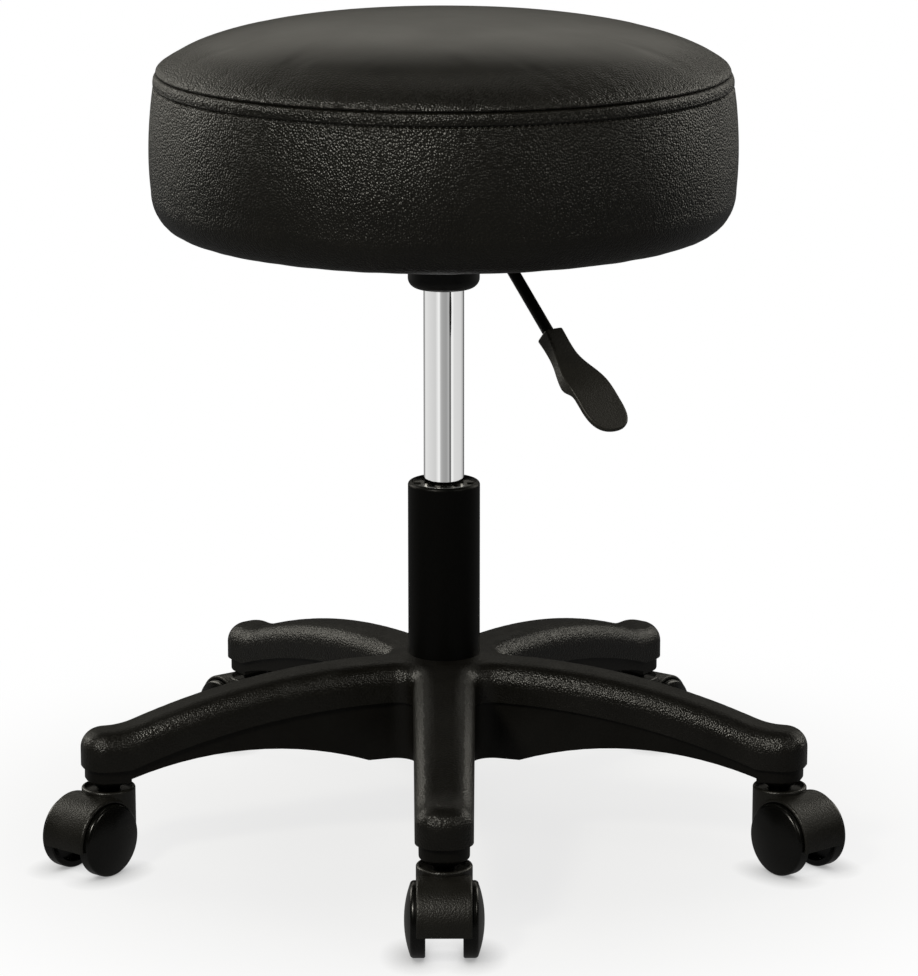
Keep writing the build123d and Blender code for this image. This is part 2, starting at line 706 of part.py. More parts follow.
def lever_slope():
    """Frame at the lever's bend: x along the sloping rod, z out of the paddle's upper face."""
    drop = radians(LEVER_DROP_ANGLE)
    return Plane((LEVER_BEND, 0, LEVER_LEVEL), (cos(drop), 0, -sin(drop)), (sin(drop), 0, cos(drop)))


def make_lever_rod():
    rod_end = lever_slope().from_local_coords(Vector(LEVER_ROD_END, 0, 0))
    rod_start = (TONGUE_ROOT - TONGUE_OVERLAP, 0, LEVER_LEVEL)
    path = FilletPolyline(rod_start, (LEVER_BEND, 0, LEVER_LEVEL), rod_end, radius=LEVER_BEND_ROUND)
    rod = sweep(Plane(path @ 0, z_dir=path % 0) * Circle(LEVER_ROD_RADIUS), path=path)
    tongue_length = TONGUE_ROOT - TONGUE_END
    tongue_plan = RectangleRounded(tongue_length, TONGUE_WIDTH, TONGUE_CORNER)
    tongue = extrude(tongue_plan, TONGUE_THICKNESS / 2, both=True)
    rod += Pos(TONGUE_END + tongue_length / 2, 0, LEVER_LEVEL) * tongue
    eye = Pos(LEVER_PIVOT, 0, LEVER_LEVEL) * Rot(90, 0, 0)
    rod += eye * Cylinder(EYE_RADIUS, 2 * EYE_HALF_WIDTH)
    rod -= eye * Cylinder(PIN_RADIUS + RUNNING_FIT, 4 * EYE_HALF_WIDTH)
    return to_lever(rod)


def paddle_plan():
    """Plan of the paddle: a slim neck that flares to a broad rounded end."""
    neck_start, neck_half = PADDLE_NECK
    half_width = PADDLE_WIDEST[1]
    round_start = (PADDLE_ROUND_START, half_width)
    half = make_face([
        Spline(PADDLE_NECK, PADDLE_FLANK, PADDLE_WIDEST, tangents=((1, 0), (1, 0))),
        Line(PADDLE_WIDEST, round_start),
        Spline(round_start, (PADDLE_END, 0), tangents=((1, 0), (0, -1))),
        Polyline((PADDLE_END, 0), (neck_start, 0), PADDLE_NECK),
    ])
    return half + mirror(half, Plane.XZ)


def paddle_side():
    """Side view of the paddle: a deep socket round the rod that thins to a flat blade."""
    start = PADDLE_NECK[0]
    blade_start = (PADDLE_FLAT_START, PADDLE_TOP)
    blade_low = PADDLE_TOP - PADDLE_THICKNESS
    underside_start = (PADDLE_FLAT_START, blade_low)
    past_end = PADDLE_END + OVERRUN
    belly_slope = Vector(PADDLE_BELLY_END) - Vector(start, -PADDLE_NECK_HALF_HEIGHT)
    return make_face([
        Spline((start, PADDLE_NECK_HALF_HEIGHT), PADDLE_SCOOP, blade_start, tangents=((1, 0), (1, 0))),
        Polyline(blade_start, (past_end, PADDLE_TOP), (past_end, blade_low), underside_start),
        Spline(PADDLE_BELLY_END, underside_start, tangents=(belly_slope, (1, 0))),
        Polyline(PADDLE_BELLY_END, (start, -PADDLE_NECK_HALF_HEIGHT), (start, PADDLE_NECK_HALF_HEIGHT)),
    ])


def make_lever_handle():
    plan = extrude(paddle_plan(), 2 * PADDLE_TOP, both=True)
    handle = plan & extrude(Plane.XZ * paddle_side(), 2 * PADDLE_WIDEST[1], both=True)
    handle = fillet(handle.edges(), PADDLE_EDGE_ROUND)
    bore = Pos(LEVER_ROD_END / 2, 0, 0) * Rot(0, 90, 0) * Cylinder(
        LEVER_ROD_RADIUS + SEATED_FIT, LEVER_ROD_END + 2 * SEATED_FIT)
    return to_lever(lever_slope() * (handle - bore))


# Twin-wheel castor: stem fixed in the base, hood turning on it, one wheel each side of the hood

def across_axle(shape):
    """Turns a shape drawn on Z so that its axis lies along the castor's axle."""
    return Pos(CASTOR_TRAIL, 0, WHEEL_RADIUS) * Rot(-90, 0, 0) * shape


def make_castor_hood():
    neck_height = NECK_TOP - NECK_BOTTOM
    neck = Pos(0, 0, NECK_BOTTOM) * extrude(Circle(NECK_RADIUS), neck_height)
    neck = fillet(neck.edges().group_by(Axis.Z)[-1], FENDER_EDGE_ROUND)
    fender = across_axle(Cylinder(FENDER_RADIUS, 2 * FENDER_HALF_WIDTH))
    fender = fillet(fender.edges().filter_by(GeomType.CIRCLE), FENDER_EDGE_ROUND)
    trim = Pos(CASTOR_TRAIL, 0, FENDER_BOTTOM - FENDER_RADIUS) * Box(
        4 * FENDER_RADIUS, 4 * FENDER_HALF_WIDTH, 2 * FENDER_RADIUS)
    room_radius = WHEEL_RADIUS + FENDER_CLEARANCE
    hood = neck + (fender - trim) - across_axle(Cylinder(room_radius, 4 * WHEEL_OUTER_FACE))
    stem_boss = Pos(0, 0, NECK_BOTTOM) * extrude(Circle(STEM_BOSS_RADIUS), DISH_FLOOR - NECK_BOTTOM)
    web = across_axle(Cylinder(room_radius + FENDER_CLEARANCE, HOOD_WEB)) - trim
    axle_boss = across_axle(Cylinder(AXLE_BOSS_RADIUS, 2 * BOSS_HALF_WIDTH))
    hood += [stem_boss, web, axle_boss]
    hood -= Pos(0, 0, DISH_FLOOR) * extrude(Circle(DISH_RADIUS), neck_height)
    hood -= Pos(0, 0, STEM_BOTTOM - CLEARANCE) * extrude(Circle(STEM_RADIUS + RUNNING_FIT), neck_height)
    return hood - across_axle(Cylinder(AXLE_RADIUS + SEATED_FIT, 4 * BOSS_HALF_WIDTH))


def make_castor_axle():
    pin = Cylinder(AXLE_RADIUS, 2 * AXLE_HALF_LENGTH)
    return across_axle(chamfer(pin.edges().filter_by(GeomType.CIRCLE), AXLE_CHAMFER))


def make_castor_wheel(side):
    """Wheel with a rounded tread, a domed outer face and a hub inside, on one side of the hood."""
    bore = AXLE_RADIUS + RUNNING_FIT
    bore_end = AXLE_HALF_LENGTH + CLEARANCE
    gate_edge = (WHEEL_GATE_RADIUS, WHEEL_OUTER_FACE)
    tread_end = (WHEEL_RADIUS, WHEEL_SHOULDER)
    wheel = turned(
        Polyline(
            gate_edge,
            (0, WHEEL_OUTER_FACE),
            (0, bore_end),
            (bore, bore_end),
            (bore, WHEEL_HUB_FACE),
            (WHEEL_HUB_RADIUS, WHEEL_HUB_FACE),
            (WHEEL_HUB_RADIUS, WHEEL_DOME_INNER + WHEEL_RIM_CHAMFER),
            (WHEEL_RIM_INNER_RADIUS - WHEEL_RIM_CHAMFER, WHEEL_DOME_INNER),
            (WHEEL_RIM_INNER_RADIUS, WHEEL_DOME_INNER - WHEEL_RIM_CHAMFER),
            (WHEEL_RIM_INNER_RADIUS, WHEEL_INNER_FACE),
            (WHEEL_RADIUS - WHEEL_TREAD_CHAMFER, WHEEL_INNER_FACE),
            (WHEEL_RADIUS, WHEEL_INNER_FACE + WHEEL_TREAD_CHAMFER),
            tread_end,
        ),
        TangentArc(tread_end, WHEEL_DOME_EDGE, tangent=(0, 1)),
        TangentArc(gate_edge, WHEEL_DOME_EDGE, tangent=(1, 0)),
    )
    facing = Rot(0, 0, 0) if side > 0 else Rot(180, 0, 0)
    return across_axle(facing * wheel)


def make_castor_stem():
    shoulder = DISH_FLOOR + CLEARANCE
    flange_high = SOCKET_BOTTOM - SEATED_FIT
    groove_low = GRIP_RING_LEVEL - GRIP_RING_HEIGHT / 2
    groove_high = GRIP_RING_LEVEL + GRIP_RING_HEIGHT / 2
    return turned(
        (0, STEM_BOTTOM),
        (STEM_RADIUS, STEM_BOTTOM),
        (STEM_RADIUS, shoulder),
        (STEM_COLLAR_RADIUS, shoulder),
        (STEM_COLLAR_RADIUS, STEM_FLANGE_LOW),
        (STEM_FLANGE_RADIUS, STEM_FLANGE_LOW),
        (STEM_FLANGE_RADIUS, flange_high),
        (STEM_RADIUS, flange_high),
        (STEM_RADIUS, groove_low),
        (GRIP_GROOVE_RADIUS, groove_low),
        (GRIP_GROOVE_RADIUS, groove_high),
        (STEM_RADIUS, groove_high),
        (STEM_RADIUS, STEM_TOP - STEM_CHAMFER),
        (STEM_RADIUS - STEM_CHAMFER, STEM_TOP),
        (0, STEM_TOP),
    )


def make_grip_ring():
    half = GRIP_RING_HEIGHT / 2 - SEATED_FIT
    outer = STEM_RADIUS + CLEARANCE - SEATED_FIT
    return ring(GRIP_GROOVE_RADIUS + SEATED_FIT, outer, GRIP_RING_LEVEL - half, GRIP_RING_LEVEL + half)


# Writing the sub-parts

os.makedirs("parts", exist_ok=True)

save("star_base", make_star_base())
save("column_tube", make_column_tube())
save("guide_bush", make_guide_bush())

upper_race_low = BALL_LEVEL + RACE_GAP
save("bearing_lower_race", make_race(TUBE_BOTTOM + TUBE_FLOOR))
save("bearing_upper_race", make_race(upper_race_low))
save("bearing_cage", make_bearing_cage())
save("bearing_balls", group(ball_places(BALL_RADIUS)))

save("piston_rod", make_piston_rod())
save("piston", make_piston())
save("piston_seal", make_piston_seal())
save("bump_stop", make_bump_stop())
save("rod_washer", make_rod_washer())
save("rod_clip", make_rod_clip())
save("gas_cylinder", make_gas_cylinder())
save("rod_guide", make_rod_guide())
save("valve_plug", make_valve_plug())
save("release_button", make_release_button())

save("taper_socket", make_taper_socket())
save("seat_plate", make_seat_plate())
save("lever_pin", make_lever_pin())
save("plate_bolts", group(at_bolts(make_plate_bolt())))
save("plate_washers", group(at_bolts(make_plate_washer())))
save("tee_nuts", group(at_bolts(make_tee_nut())))

top_panel, side_band = make_seat_cover()
save("seat_top_panel", top_panel)
save("seat_side_band", side_band)
save("seat_foam", make_seat_foam())
save("seat_board", make_seat_board())
save("dust_cover", make_dust_cover())

save("lever_rod", make_lever_rod())
save("lever_handle", make_lever_handle())

at_stem = Pos(CASTOR_CIRCLE, 0, 0)
save("castor_stems", group(around(at_stem * make_castor_stem())))
save("castor_grip_rings", group(around(at_stem * make_grip_ring())))

castor_pieces = {
    "castor_hood": make_castor_hood(),
    "castor_axle": make_castor_axle(),
    "castor_wheel_left": make_castor_wheel(1),
    "castor_wheel_right": make_castor_wheel(-1),
}
for index, yaw in enumerate(CASTOR_YAWS):
    arm_turn = Rot(0, 0, FRONT_ARM_ANGLE + index * 360 / ARM_COUNT)
    stem_place = Pos((arm_turn * at_stem).position) * Rot(0, 0, yaw)
    for name, piece in castor_pieces.items():
        save(f"{name}_{index + 1}", stem_place * piece)
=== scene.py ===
import json
from math import atan, atan2, cos, hypot, pi, radians, sin

import bpy
import numpy as np
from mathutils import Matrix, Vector, noise


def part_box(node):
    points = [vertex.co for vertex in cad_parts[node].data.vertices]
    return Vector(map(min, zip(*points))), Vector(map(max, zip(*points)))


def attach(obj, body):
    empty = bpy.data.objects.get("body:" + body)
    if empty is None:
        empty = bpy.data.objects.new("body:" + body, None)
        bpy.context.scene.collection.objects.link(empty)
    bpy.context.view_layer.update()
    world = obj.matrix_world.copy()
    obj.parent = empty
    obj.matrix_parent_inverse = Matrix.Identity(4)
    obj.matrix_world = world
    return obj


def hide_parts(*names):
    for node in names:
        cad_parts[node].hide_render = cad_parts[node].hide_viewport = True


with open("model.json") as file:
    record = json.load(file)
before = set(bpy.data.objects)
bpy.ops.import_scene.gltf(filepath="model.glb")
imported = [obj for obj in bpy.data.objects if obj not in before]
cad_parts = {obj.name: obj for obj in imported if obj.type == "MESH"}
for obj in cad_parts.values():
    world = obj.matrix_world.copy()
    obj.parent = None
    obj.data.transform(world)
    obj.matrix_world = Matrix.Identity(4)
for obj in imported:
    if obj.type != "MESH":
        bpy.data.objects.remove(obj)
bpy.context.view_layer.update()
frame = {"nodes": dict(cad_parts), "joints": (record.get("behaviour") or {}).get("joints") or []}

# Adjustable swivel stool, in the order that it is put together: base, column, seat, lever and castors,
# and then the studio round it. Metres, with +Z up and the front arm along -Y.
nodes = frame["nodes"]


# Star base. One injection moulding in black glass-filled nylon, with five hollow arms on a hub.
# The mould was spark-eroded, so the sides of the arms have an even grain. The webs under them were
# left smoother, so that the part slides out of the mould, and so were the flat tops. The webs and the
# flat tops are also drawn darker, with a weaker sheen, which paints shade onto them.

MM = 0.001
FLOW_MARK = 28 * MM
FLOW_SHEEN = 0.05
# Most of the values of a noise texture lie between these two.
NOISE_LOW = 0.3
NOISE_HIGH = 0.7


def linear(hex_colour):
    """An sRGB hex colour as linear red, green, blue and alpha."""
    channels = [int(hex_colour[at:at + 2], 16) / 255 for at in (1, 3, 5)]
    return [c / 12.92 if c <= 0.04045 else ((c + 0.055) / 1.055) ** 2.4 for c in channels] + [1]


def add(tree, kind, inputs=None, **settings):
    """Adds a node. An input given as a socket is linked, and any other input is set to the value."""
    node = tree.nodes.new(kind)
    for name, value in settings.items():
        setattr(node, name, value)
    for name, value in (inputs or {}).items():
        if isinstance(value, bpy.types.NodeSocket):
            tree.links.new(value, node.inputs[name])
        else:
            node.inputs[name].default_value = value
    return node


def new_material(name, **constants):
    """A material with its main shader's constants set. Underscores in their names stand for spaces."""
    material = bpy.data.materials.new(name)
    material.use_nodes = True
    tree = material.node_tree
    shader = tree.nodes["Principled BSDF"]
    for key, value in constants.items():
        shader.inputs[key.replace("_", " ")].default_value = value
    place = add(tree, "ShaderNodeTexCoord").outputs["Object"]
    return material, tree, shader, place


def moulded_plastic(name, dark, light, grain, depth, roughness, specular=0.5):
    """Moulded plastic with an eroded grain: a soft sheen that breaks up into fine points.

    Such a grain is finer than half a millimetre. That doesn't show, so it is drawn coarser.
    """
    material, tree, shader, place = new_material(name, Specular_IOR_Level=specular)
    cells = add(tree, "ShaderNodeTexVoronoi", {"Vector": place, "Scale": 1 / grain})
    flow = add(tree, "ShaderNodeTexNoise", {"Vector": place, "Scale": 1 / FLOW_MARK, "Detail": 2.0})
    tone = add(tree, "ShaderNodeMixRGB", {
        "Fac": flow.outputs["Fac"], 1: linear(dark), 2: linear(light)})
    tree.links.new(tone.outputs["Color"], shader.inputs["Base Color"])
    gloss = add(tree, "ShaderNodeMapRange", {
        "Value": flow.outputs["Fac"], "From Min": NOISE_LOW, "From Max": NOISE_HIGH,
        "To Min": roughness - FLOW_SHEEN, "To Max": roughness + FLOW_SHEEN})
    tree.links.new(gloss.outputs["Result"], shader.inputs["Roughness"])
    bump = add(tree, "ShaderNodeBump", {
        "Height": cells.outputs["Distance"], "Strength": 1.0, "Distance": depth}, invert=True)
    tree.links.new(bump.outputs["Normal"], shader.inputs["Normal"])
    return material


def dress(material, *names):
    """Gives CAD nodes a finish."""
    for name in names:
        nodes[name].data.materials.clear()
        nodes[name].data.materials.append(material)


# The grained sides glint along the edges of the arms. The webs and the tops are painted darker, with
# less sheen, as painted shade beside them.
base_nylon = moulded_plastic(
    "grained_nylon", "#0f0e0b", "#151411", grain=1.35 * MM, depth=0.33 * MM, roughness=0.34,
    specular=0.38)
smooth_painted_shade_nylon = moulded_plastic(
    "smooth_nylon_painted_shade", "#0c0b09", "#100f0c", grain=1.4 * MM, depth=0.05 * MM, roughness=0.42,
    specular=0.25)
top_painted_shade_nylon = moulded_plastic(
    "top_nylon_painted_shade", "#0d0c0a", "#11100d", grain=1.35 * MM, depth=0.16 * MM, roughness=0.46,
    specular=0.16)
dress(base_nylon, "star_base")
nodes["star_base"].data.materials.append(smooth_painted_shade_nylon)
nodes["star_base"].data.materials.append(top_painted_shade_nylon)
WEB_PAINTED_SHADE_SLOT = 1
TOP_PAINTED_SHADE_SLOT = 2

# The ridge of an arm falls away from the hub, and the grained wall hangs below it by its height. A top
# face looks up, and leans to the side of its arm by a sine of no more than TOP_LEAN.
RIDGE_HEIGHT = 128.3 * MM
RIDGE_FALL = 31.8 * MM
RIDGE_START = 52 * MM
RIDGE_LENGTH = 178 * MM
WALL_HEIGHT = 25.8 * MM
WALL_MARGIN = 0.4 * MM
FRONT_ARM = -pi / 2
ARM_TURN = 2 * pi / 5
TOP_LEAN = 0.505
TOP_UPWARD = 0.7
# The webs and the flat tops get the darker materials, which paint shade on them.
for face in nodes["star_base"].data.polygons:
    run = (hypot(face.center.x, face.center.y) - RIDGE_START) / RIDGE_LENGTH
    wall_foot = RIDGE_HEIGHT - RIDGE_FALL * min(max(run, 0), 1) ** 2 - WALL_HEIGHT
    arm = round((atan2(face.center.y, face.center.x) - FRONT_ARM) / ARM_TURN) * ARM_TURN + FRONT_ARM
    lean = abs(face.normal.y * cos(arm) - face.normal.x * sin(arm))
    if face.center.z < wall_foot - WALL_MARGIN:
        face.material_index = WEB_PAINTED_SHADE_SLOT
    elif face.normal.z > TOP_UPWARD and lean < TOP_LEAN:
        face.material_index = TOP_PAINTED_SHADE_SLOT


# Column tube. Drawn steel tube, wedged into the hub by its taper and stove-enamelled black.
# The enamel is smooth, so it mirrors the studio in soft upright streaks.

PEEL_DEPTH = 0.02 * MM


def enamel(name, colour, peel, roughness, specular):
    """Stove enamel on steel: smooth, with the faint orange peel of a sprayed coat."""
    material, tree, shader, place = new_material(
        name, Base_Color=linear(colour), Roughness=roughness, Specular_IOR_Level=specular)
    skin = add(tree, "ShaderNodeTexNoise", {"Vector": place, "Scale": 1 / peel, "Detail": 1.0})
    bump = add(tree, "ShaderNodeBump", {
        "Height": skin.outputs["Fac"], "Strength": 1.0, "Distance": PEEL_DEPTH})
    tree.links.new(bump.outputs["Normal"], shader.inputs["Normal"])
    return material


tube_enamel = enamel("black_enamel", "#070706", peel=2.2 * MM, roughness=0.38, specular=0.12)
dress(tube_enamel, "column_tube")


# Guide bush. Acetal sleeve, moulded with pockets in its top and pressed into the mouth of the tube.
# The bearing's cage and the rod guide are acetal too. It is smooth and waxy, with a soft sheen.

bush_acetal = moulded_plastic(
    "black_acetal", "#1c1c1b", "#262624", grain=1.6 * MM, depth=0.03 * MM, roughness=0.3)
dress(bush_acetal, "guide_bush", "bearing_cage", "rod_guide")


# Thrust bearing, rod, piston and fasteners. Zinc-plated and ground steel, an aluminium piston and a
# rubber seal. The rod is clipped to the foot of the tube with the bearing on it, and the piston runs
# in the gas cylinder. Bolts and tee nuts hold the seat. Most of it is out of sight.

ROUND_STRETCH = (0.15, 0.15, 1.0)
LINE_DEPTH = 0.01 * MM
LINE_SHEEN = 0.25


def machined_metal(name, colour, roughness, line):
    """Bright metal with the fine lines of turning or grinding, which stretch its glints."""
    material, tree, shader, place = new_material(name, Base_Color=linear(colour), Metallic=1.0)
    stretched = add(tree, "ShaderNodeMapping", {"Vector": place, "Scale": ROUND_STRETCH})
    lines = add(tree, "ShaderNodeTexNoise", {
        "Vector": stretched.outputs["Vector"], "Scale": 1 / line, "Detail": 2.0})
    gloss = add(tree, "ShaderNodeMapRange", {
        "Value": lines.outputs["Fac"],
        "To Min": roughness * (1 - LINE_SHEEN), "To Max": roughness * (1 + LINE_SHEEN)})
    tree.links.new(gloss.outputs["Result"], shader.inputs["Roughness"])
    bump = add(tree, "ShaderNodeBump", {
        "Height": lines.outputs["Fac"], "Strength": 1.0, "Distance": LINE_DEPTH})
    tree.links.new(bump.outputs["Normal"], shader.inputs["Normal"])
    return material


# Zinc is pale and silky, blackened steel dull, turned aluminium whiter, and rubber quite matt.
zinc_steel = machined_metal("zinc_plated_steel", "#b9babb", roughness=0.3, line=0.5 * MM)
dress(
    zinc_steel, "bearing_lower_race", "bearing_upper_race", "bearing_balls", "piston_rod", "rod_washer",
    "rod_clip", "release_button", "lever_pin", "plate_bolts", "plate_washers", "tee_nuts",
    "castor_grip_rings", *[f"castor_axle_{index}" for index in range(1, 6)])
blackened_steel = machined_metal("blackened_steel", "#1d1d1c", roughness=0.45, line=0.5 * MM)
dress(blackened_steel, "castor_stems")
turned_aluminium = machined_metal("turned_aluminium", "#d0d1d3", roughness=0.35, line=0.4 * MM)
dress(turned_aluminium, "piston", "valve_plug")
seal_rubber = moulded_plastic(
    "black_rubber", "#121211", "#181816", grain=0.8 * MM, depth=0.05 * MM, roughness=0.7)
dress(seal_rubber, "piston_seal", "bump_stop")


# Gas cylinder. Steel tube, ground, hard-chromed and polished, with its taper pressed into the socket
# under the seat. It mirrors the bands painted round the floor as upright stripes, a painted reflection,
# and the grinding lines just show.

chrome_plate = machined_metal("hard_chrome", "#f2f2f1", roughness=0.0, line=0.6 * MM)
dress(chrome_plate, "gas_cylinder")


# Seat plate, socket and lever rod. The plate is pressed steel, with the turned socket welded in it,
# and is bolted to the board from below. The rod is bent steel. All are sprayed with a semi-gloss black.

plate_enamel = enamel("black_plate_paint", "#0d0d0b", peel=1.5 * MM, roughness=0.36, specular=0.4)
dress(plate_enamel, "taper_socket", "seat_plate", "lever_rod")


# Seat board. Birch plywood, sawn round and left raw, with the tee nuts knocked in from above. The
# foam is glued on top of it, and the cover is stapled to its underside.

GRAIN_STRETCH = (0.06, 1.0, 1.0)
GRAIN_WIDTH = 2.5 * MM


def plywood():
    """Raw plywood: matt, with long pale grain on the faces."""
    material, tree, shader, place = new_material("raw_plywood", Roughness=0.75)
    stretched = add(tree, "ShaderNodeMapping", {"Vector": place, "Scale": GRAIN_STRETCH})
    fibre = add(tree, "ShaderNodeTexNoise", {
        "Vector": stretched.outputs["Vector"], "Scale": 1 / GRAIN_WIDTH, "Detail": 4.0})
    tone = add(tree, "ShaderNodeMixRGB", {
        "Fac": fibre.outputs["Fac"], 1: linear("#a88356"), 2: linear("#cdae80")})
    tree.links.new(tone.outputs["Color"], shader.inputs["Base Color"])
    return material


dress(plywood(), "seat_board")


# Seat cushion. Moulded foam under a cover of black coated fabric with a pebble grain. The domed top
# panel is sewn to the side band. The seam allowance lies behind the band and is stitched down below
# the seam, and the band is pulled round the board's edge and stapled there.

panel_low, panel_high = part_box("seat_top_panel")
band_low, band_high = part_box("seat_side_band")
SEAM_RADIUS = panel_high.x
SEAM_LEVEL = panel_low.z
CROWN_HEIGHT = panel_high.z - panel_low.z
SEAT_RADIUS = band_high.x
SEAT_BOTTOM = band_low.z
WAIST_LEVEL = SEAT_BOTTOM + 50 * MM
FOOT_CORNER = 26 * MM
FOOT_INSET = 1.3 * MM
HEM_RADIUS = 142 * MM
CROWN_POWER = 2.92
STITCH_DROP = 9.2 * MM
STITCH_COUNT = 300
AROUND = 4 * STITCH_COUNT


def seat_profile():
    """Radius and height along the cover from the middle of the top to the hem, closely spaced."""
    share = 1 - np.linspace(1, 0, 400) ** 2
    crown_r = SEAM_RADIUS * share
    crown_z = SEAM_LEVEL + CROWN_HEIGHT * (1 - share ** CROWN_POWER) ** (2 / CROWN_POWER)
    foot_level = SEAT_BOTTOM + FOOT_CORNER
    flank_z = np.linspace(SEAM_LEVEL, foot_level, 200)[1:]
    above = np.clip((flank_z - WAIST_LEVEL) / (SEAM_LEVEL - WAIST_LEVEL), 0, 1)
    below = np.clip((WAIST_LEVEL - flank_z) / (WAIST_LEVEL - foot_level), 0, 1)
    flank_r = SEAT_RADIUS - (SEAT_RADIUS - SEAM_RADIUS) * above ** 2 - FOOT_INSET * below ** 2
    turn = np.linspace(0, pi / 2, 60)[1:]
    corner_r = flank_r[-1] - FOOT_CORNER * (1 - np.cos(turn))
    corner_z = foot_level - FOOT_CORNER * np.sin(turn)
    hem_r = np.linspace(corner_r[-1], HEM_RADIUS, 40)[1:]
    hem_z = np.full_like(hem_r, SEAT_BOTTOM)
    return np.concatenate([crown_r, flank_r, corner_r, hem_r]), np.concatenate(
        [crown_z, flank_z, corner_z, hem_z])


profile_r, profile_z = seat_profile()
along = np.concatenate([[0], np.cumsum(np.hypot(np.diff(profile_r), np.diff(profile_z)))])
along -= along[np.argmax(profile_z <= SEAM_LEVEL)]
slope_r = np.gradient(profile_r, along)
slope_z = np.gradient(profile_z, along)
FOOT_RISE = 3 * MM
FOOT_TURN = float(np.interp(-(SEAT_BOTTOM + FOOT_RISE), -profile_z, along))


def on_profile(distance):
    """Radius, height and outward direction at distances down the cover, measured from the seam."""
    values = [np.interp(distance, along, line) for line in (profile_r, profile_z, slope_r, slope_z)]
    return values[0], values[1], -values[3], values[2]


def link(name, data):
    """A new object in the scene, made from a mesh, a lamp or a lens."""
    made = bpy.data.objects.new(name, data)
    bpy.context.scene.collection.objects.link(made)
    return made


# The cloth starts a little inside the cover, with slight unevenness, and is held along its hem.
START_INSET = 2 * MM
START_UNEVEN = 0.15 * MM
UNEVEN_SIZE = 25 * MM
HELD_HEIGHT = 4 * MM
LAST_STEP = 20


def simulated_swell(rows, columns):
    """How far a cloth cover, blown up by its foam, stands off the plain profile at rows and columns."""
    radius, level, out_r, out_z = on_profile(rows)
    turns = np.linspace(0, 2 * pi, columns, endpoint=False)
    start = np.zeros((len(rows), columns, 3))
    start[:, :, 0] = np.outer(radius - START_INSET * out_r, np.cos(turns))
    start[:, :, 1] = np.outer(radius - START_INSET * out_r, np.sin(turns))
    start[:, :, 2] = (level - START_INSET * out_z)[:, None]
    for point in start.reshape(-1, 3):
        point += START_UNEVEN * np.array(noise.noise_vector(Vector(point) / UNEVEN_SIZE))
    quads = [
        (row * columns + at, (row + 1) * columns + at,
         (row + 1) * columns + (at + 1) % columns, row * columns + (at + 1) % columns)
        for row in range(len(rows) - 1) for at in range(columns)]
    mesh = bpy.data.meshes.new("cover_cloth")
    mesh.from_pydata(start.reshape(-1, 3), [], [tuple(range(columns))] + quads)
    cloth = link("cover_cloth", mesh)
    held = cloth.vertex_groups.new(name="held")
    for row in np.flatnonzero(level < SEAT_BOTTOM + HELD_HEIGHT):
        held.add([int(row) * columns + at for at in range(columns)], 1, "REPLACE")
    modifier = cloth.modifiers.new("cover", "CLOTH")
    settings = modifier.settings
    settings.quality = 6
    settings.mass = 0.4
    settings.tension_stiffness = 25
    settings.compression_stiffness = 25
    settings.shear_stiffness = 10
    settings.bending_stiffness = 0.6
    settings.effector_weights.gravity = 0
    settings.use_pressure = True
    settings.uniform_pressure_force = 8
    settings.vertex_group_mass = "held"
    modifier.collision_settings.use_collision = False
    for step in range(1, LAST_STEP + 1):
        bpy.context.scene.frame_set(step)
    evaluated = cloth.evaluated_get(bpy.context.evaluated_depsgraph_get())
    moved = np.zeros(len(mesh.vertices) * 3)
    evaluated.data.vertices.foreach_get("co", moved)
    bpy.context.scene.frame_set(1)
    bpy.data.objects.remove(cloth)
    moved = moved.reshape(len(rows), columns, 3)
    radial = moved[:, :, 0] * np.cos(turns) + moved[:, :, 1] * np.sin(turns)
    outward = (radial - radius[:, None]) * out_r[:, None]
    return outward + (moved[:, :, 2] - level[:, None]) * out_z[:, None]


# The profile already has the round of the foam, so only the uneven part of the swell is added. The
# cover is taut, so it is a small share of that.
SWELL_ROW_COUNT = 46
SWELL_COLUMNS = 180
MIDDLE_HOLE = 4 * MM
SWELL_ROWS = np.linspace(along[0] + MIDDLE_HOLE, along[-1], SWELL_ROW_COUNT)
SWELL_SHARE = 0.12
SWELL_CAP = 2.5 * MM
swell = simulated_swell(SWELL_ROWS, SWELL_COLUMNS)
swell = np.clip(swell - swell.mean(1)[:, None], -SWELL_CAP, SWELL_CAP) * SWELL_SHARE
fine_swell = np.fft.irfft(np.fft.rfft(swell, axis=1), n=AROUND, axis=1) * (AROUND / SWELL_COLUMNS)
TURNS = np.linspace(0, 2 * pi, AROUND, endpoint=False)


def ripple(distance, spacing, length):
    """Smooth random ripples round the seat, spaced round it and drawn out down the cover."""
    rim = [Vector((cos(turn), sin(turn), 0)) * (SEAT_RADIUS / spacing) for turn in TURNS]
    return np.array([noise.noise(spot + Vector((0, 0, distance / length))) for spot in rim])


# The seam is a narrow groove, with a low roll of the panel above it and of the allowance below.
SEAM_DEPTH = 2.6 * MM
SEAM_WIDTH = 0.6 * MM
PANEL_ROLL = 0.4 * MM
PANEL_ROLL_RISE = 5 * MM
PANEL_ROLL_WIDTH = 4.5 * MM
ALLOWANCE_ROLL = 0.7 * MM
ALLOWANCE_ROLL_DROP = 4.4 * MM
ALLOWANCE_ROLL_WIDTH = 3.0 * MM
# Each stitch pulls its own short groove, which wavers a little from stitch to stitch.
STITCH_DEPTH = 2.2 * MM
STITCH_WIDTH = 0.65 * MM
STITCH_WAVER = 0.3 * MM
STITCH_PULL = 0.35
# The foot bulges where the foam rolls over the board's edge.
FOOT_BULGE = 1.9 * MM
FOOT_BULGE_WIDTH = 16 * MM
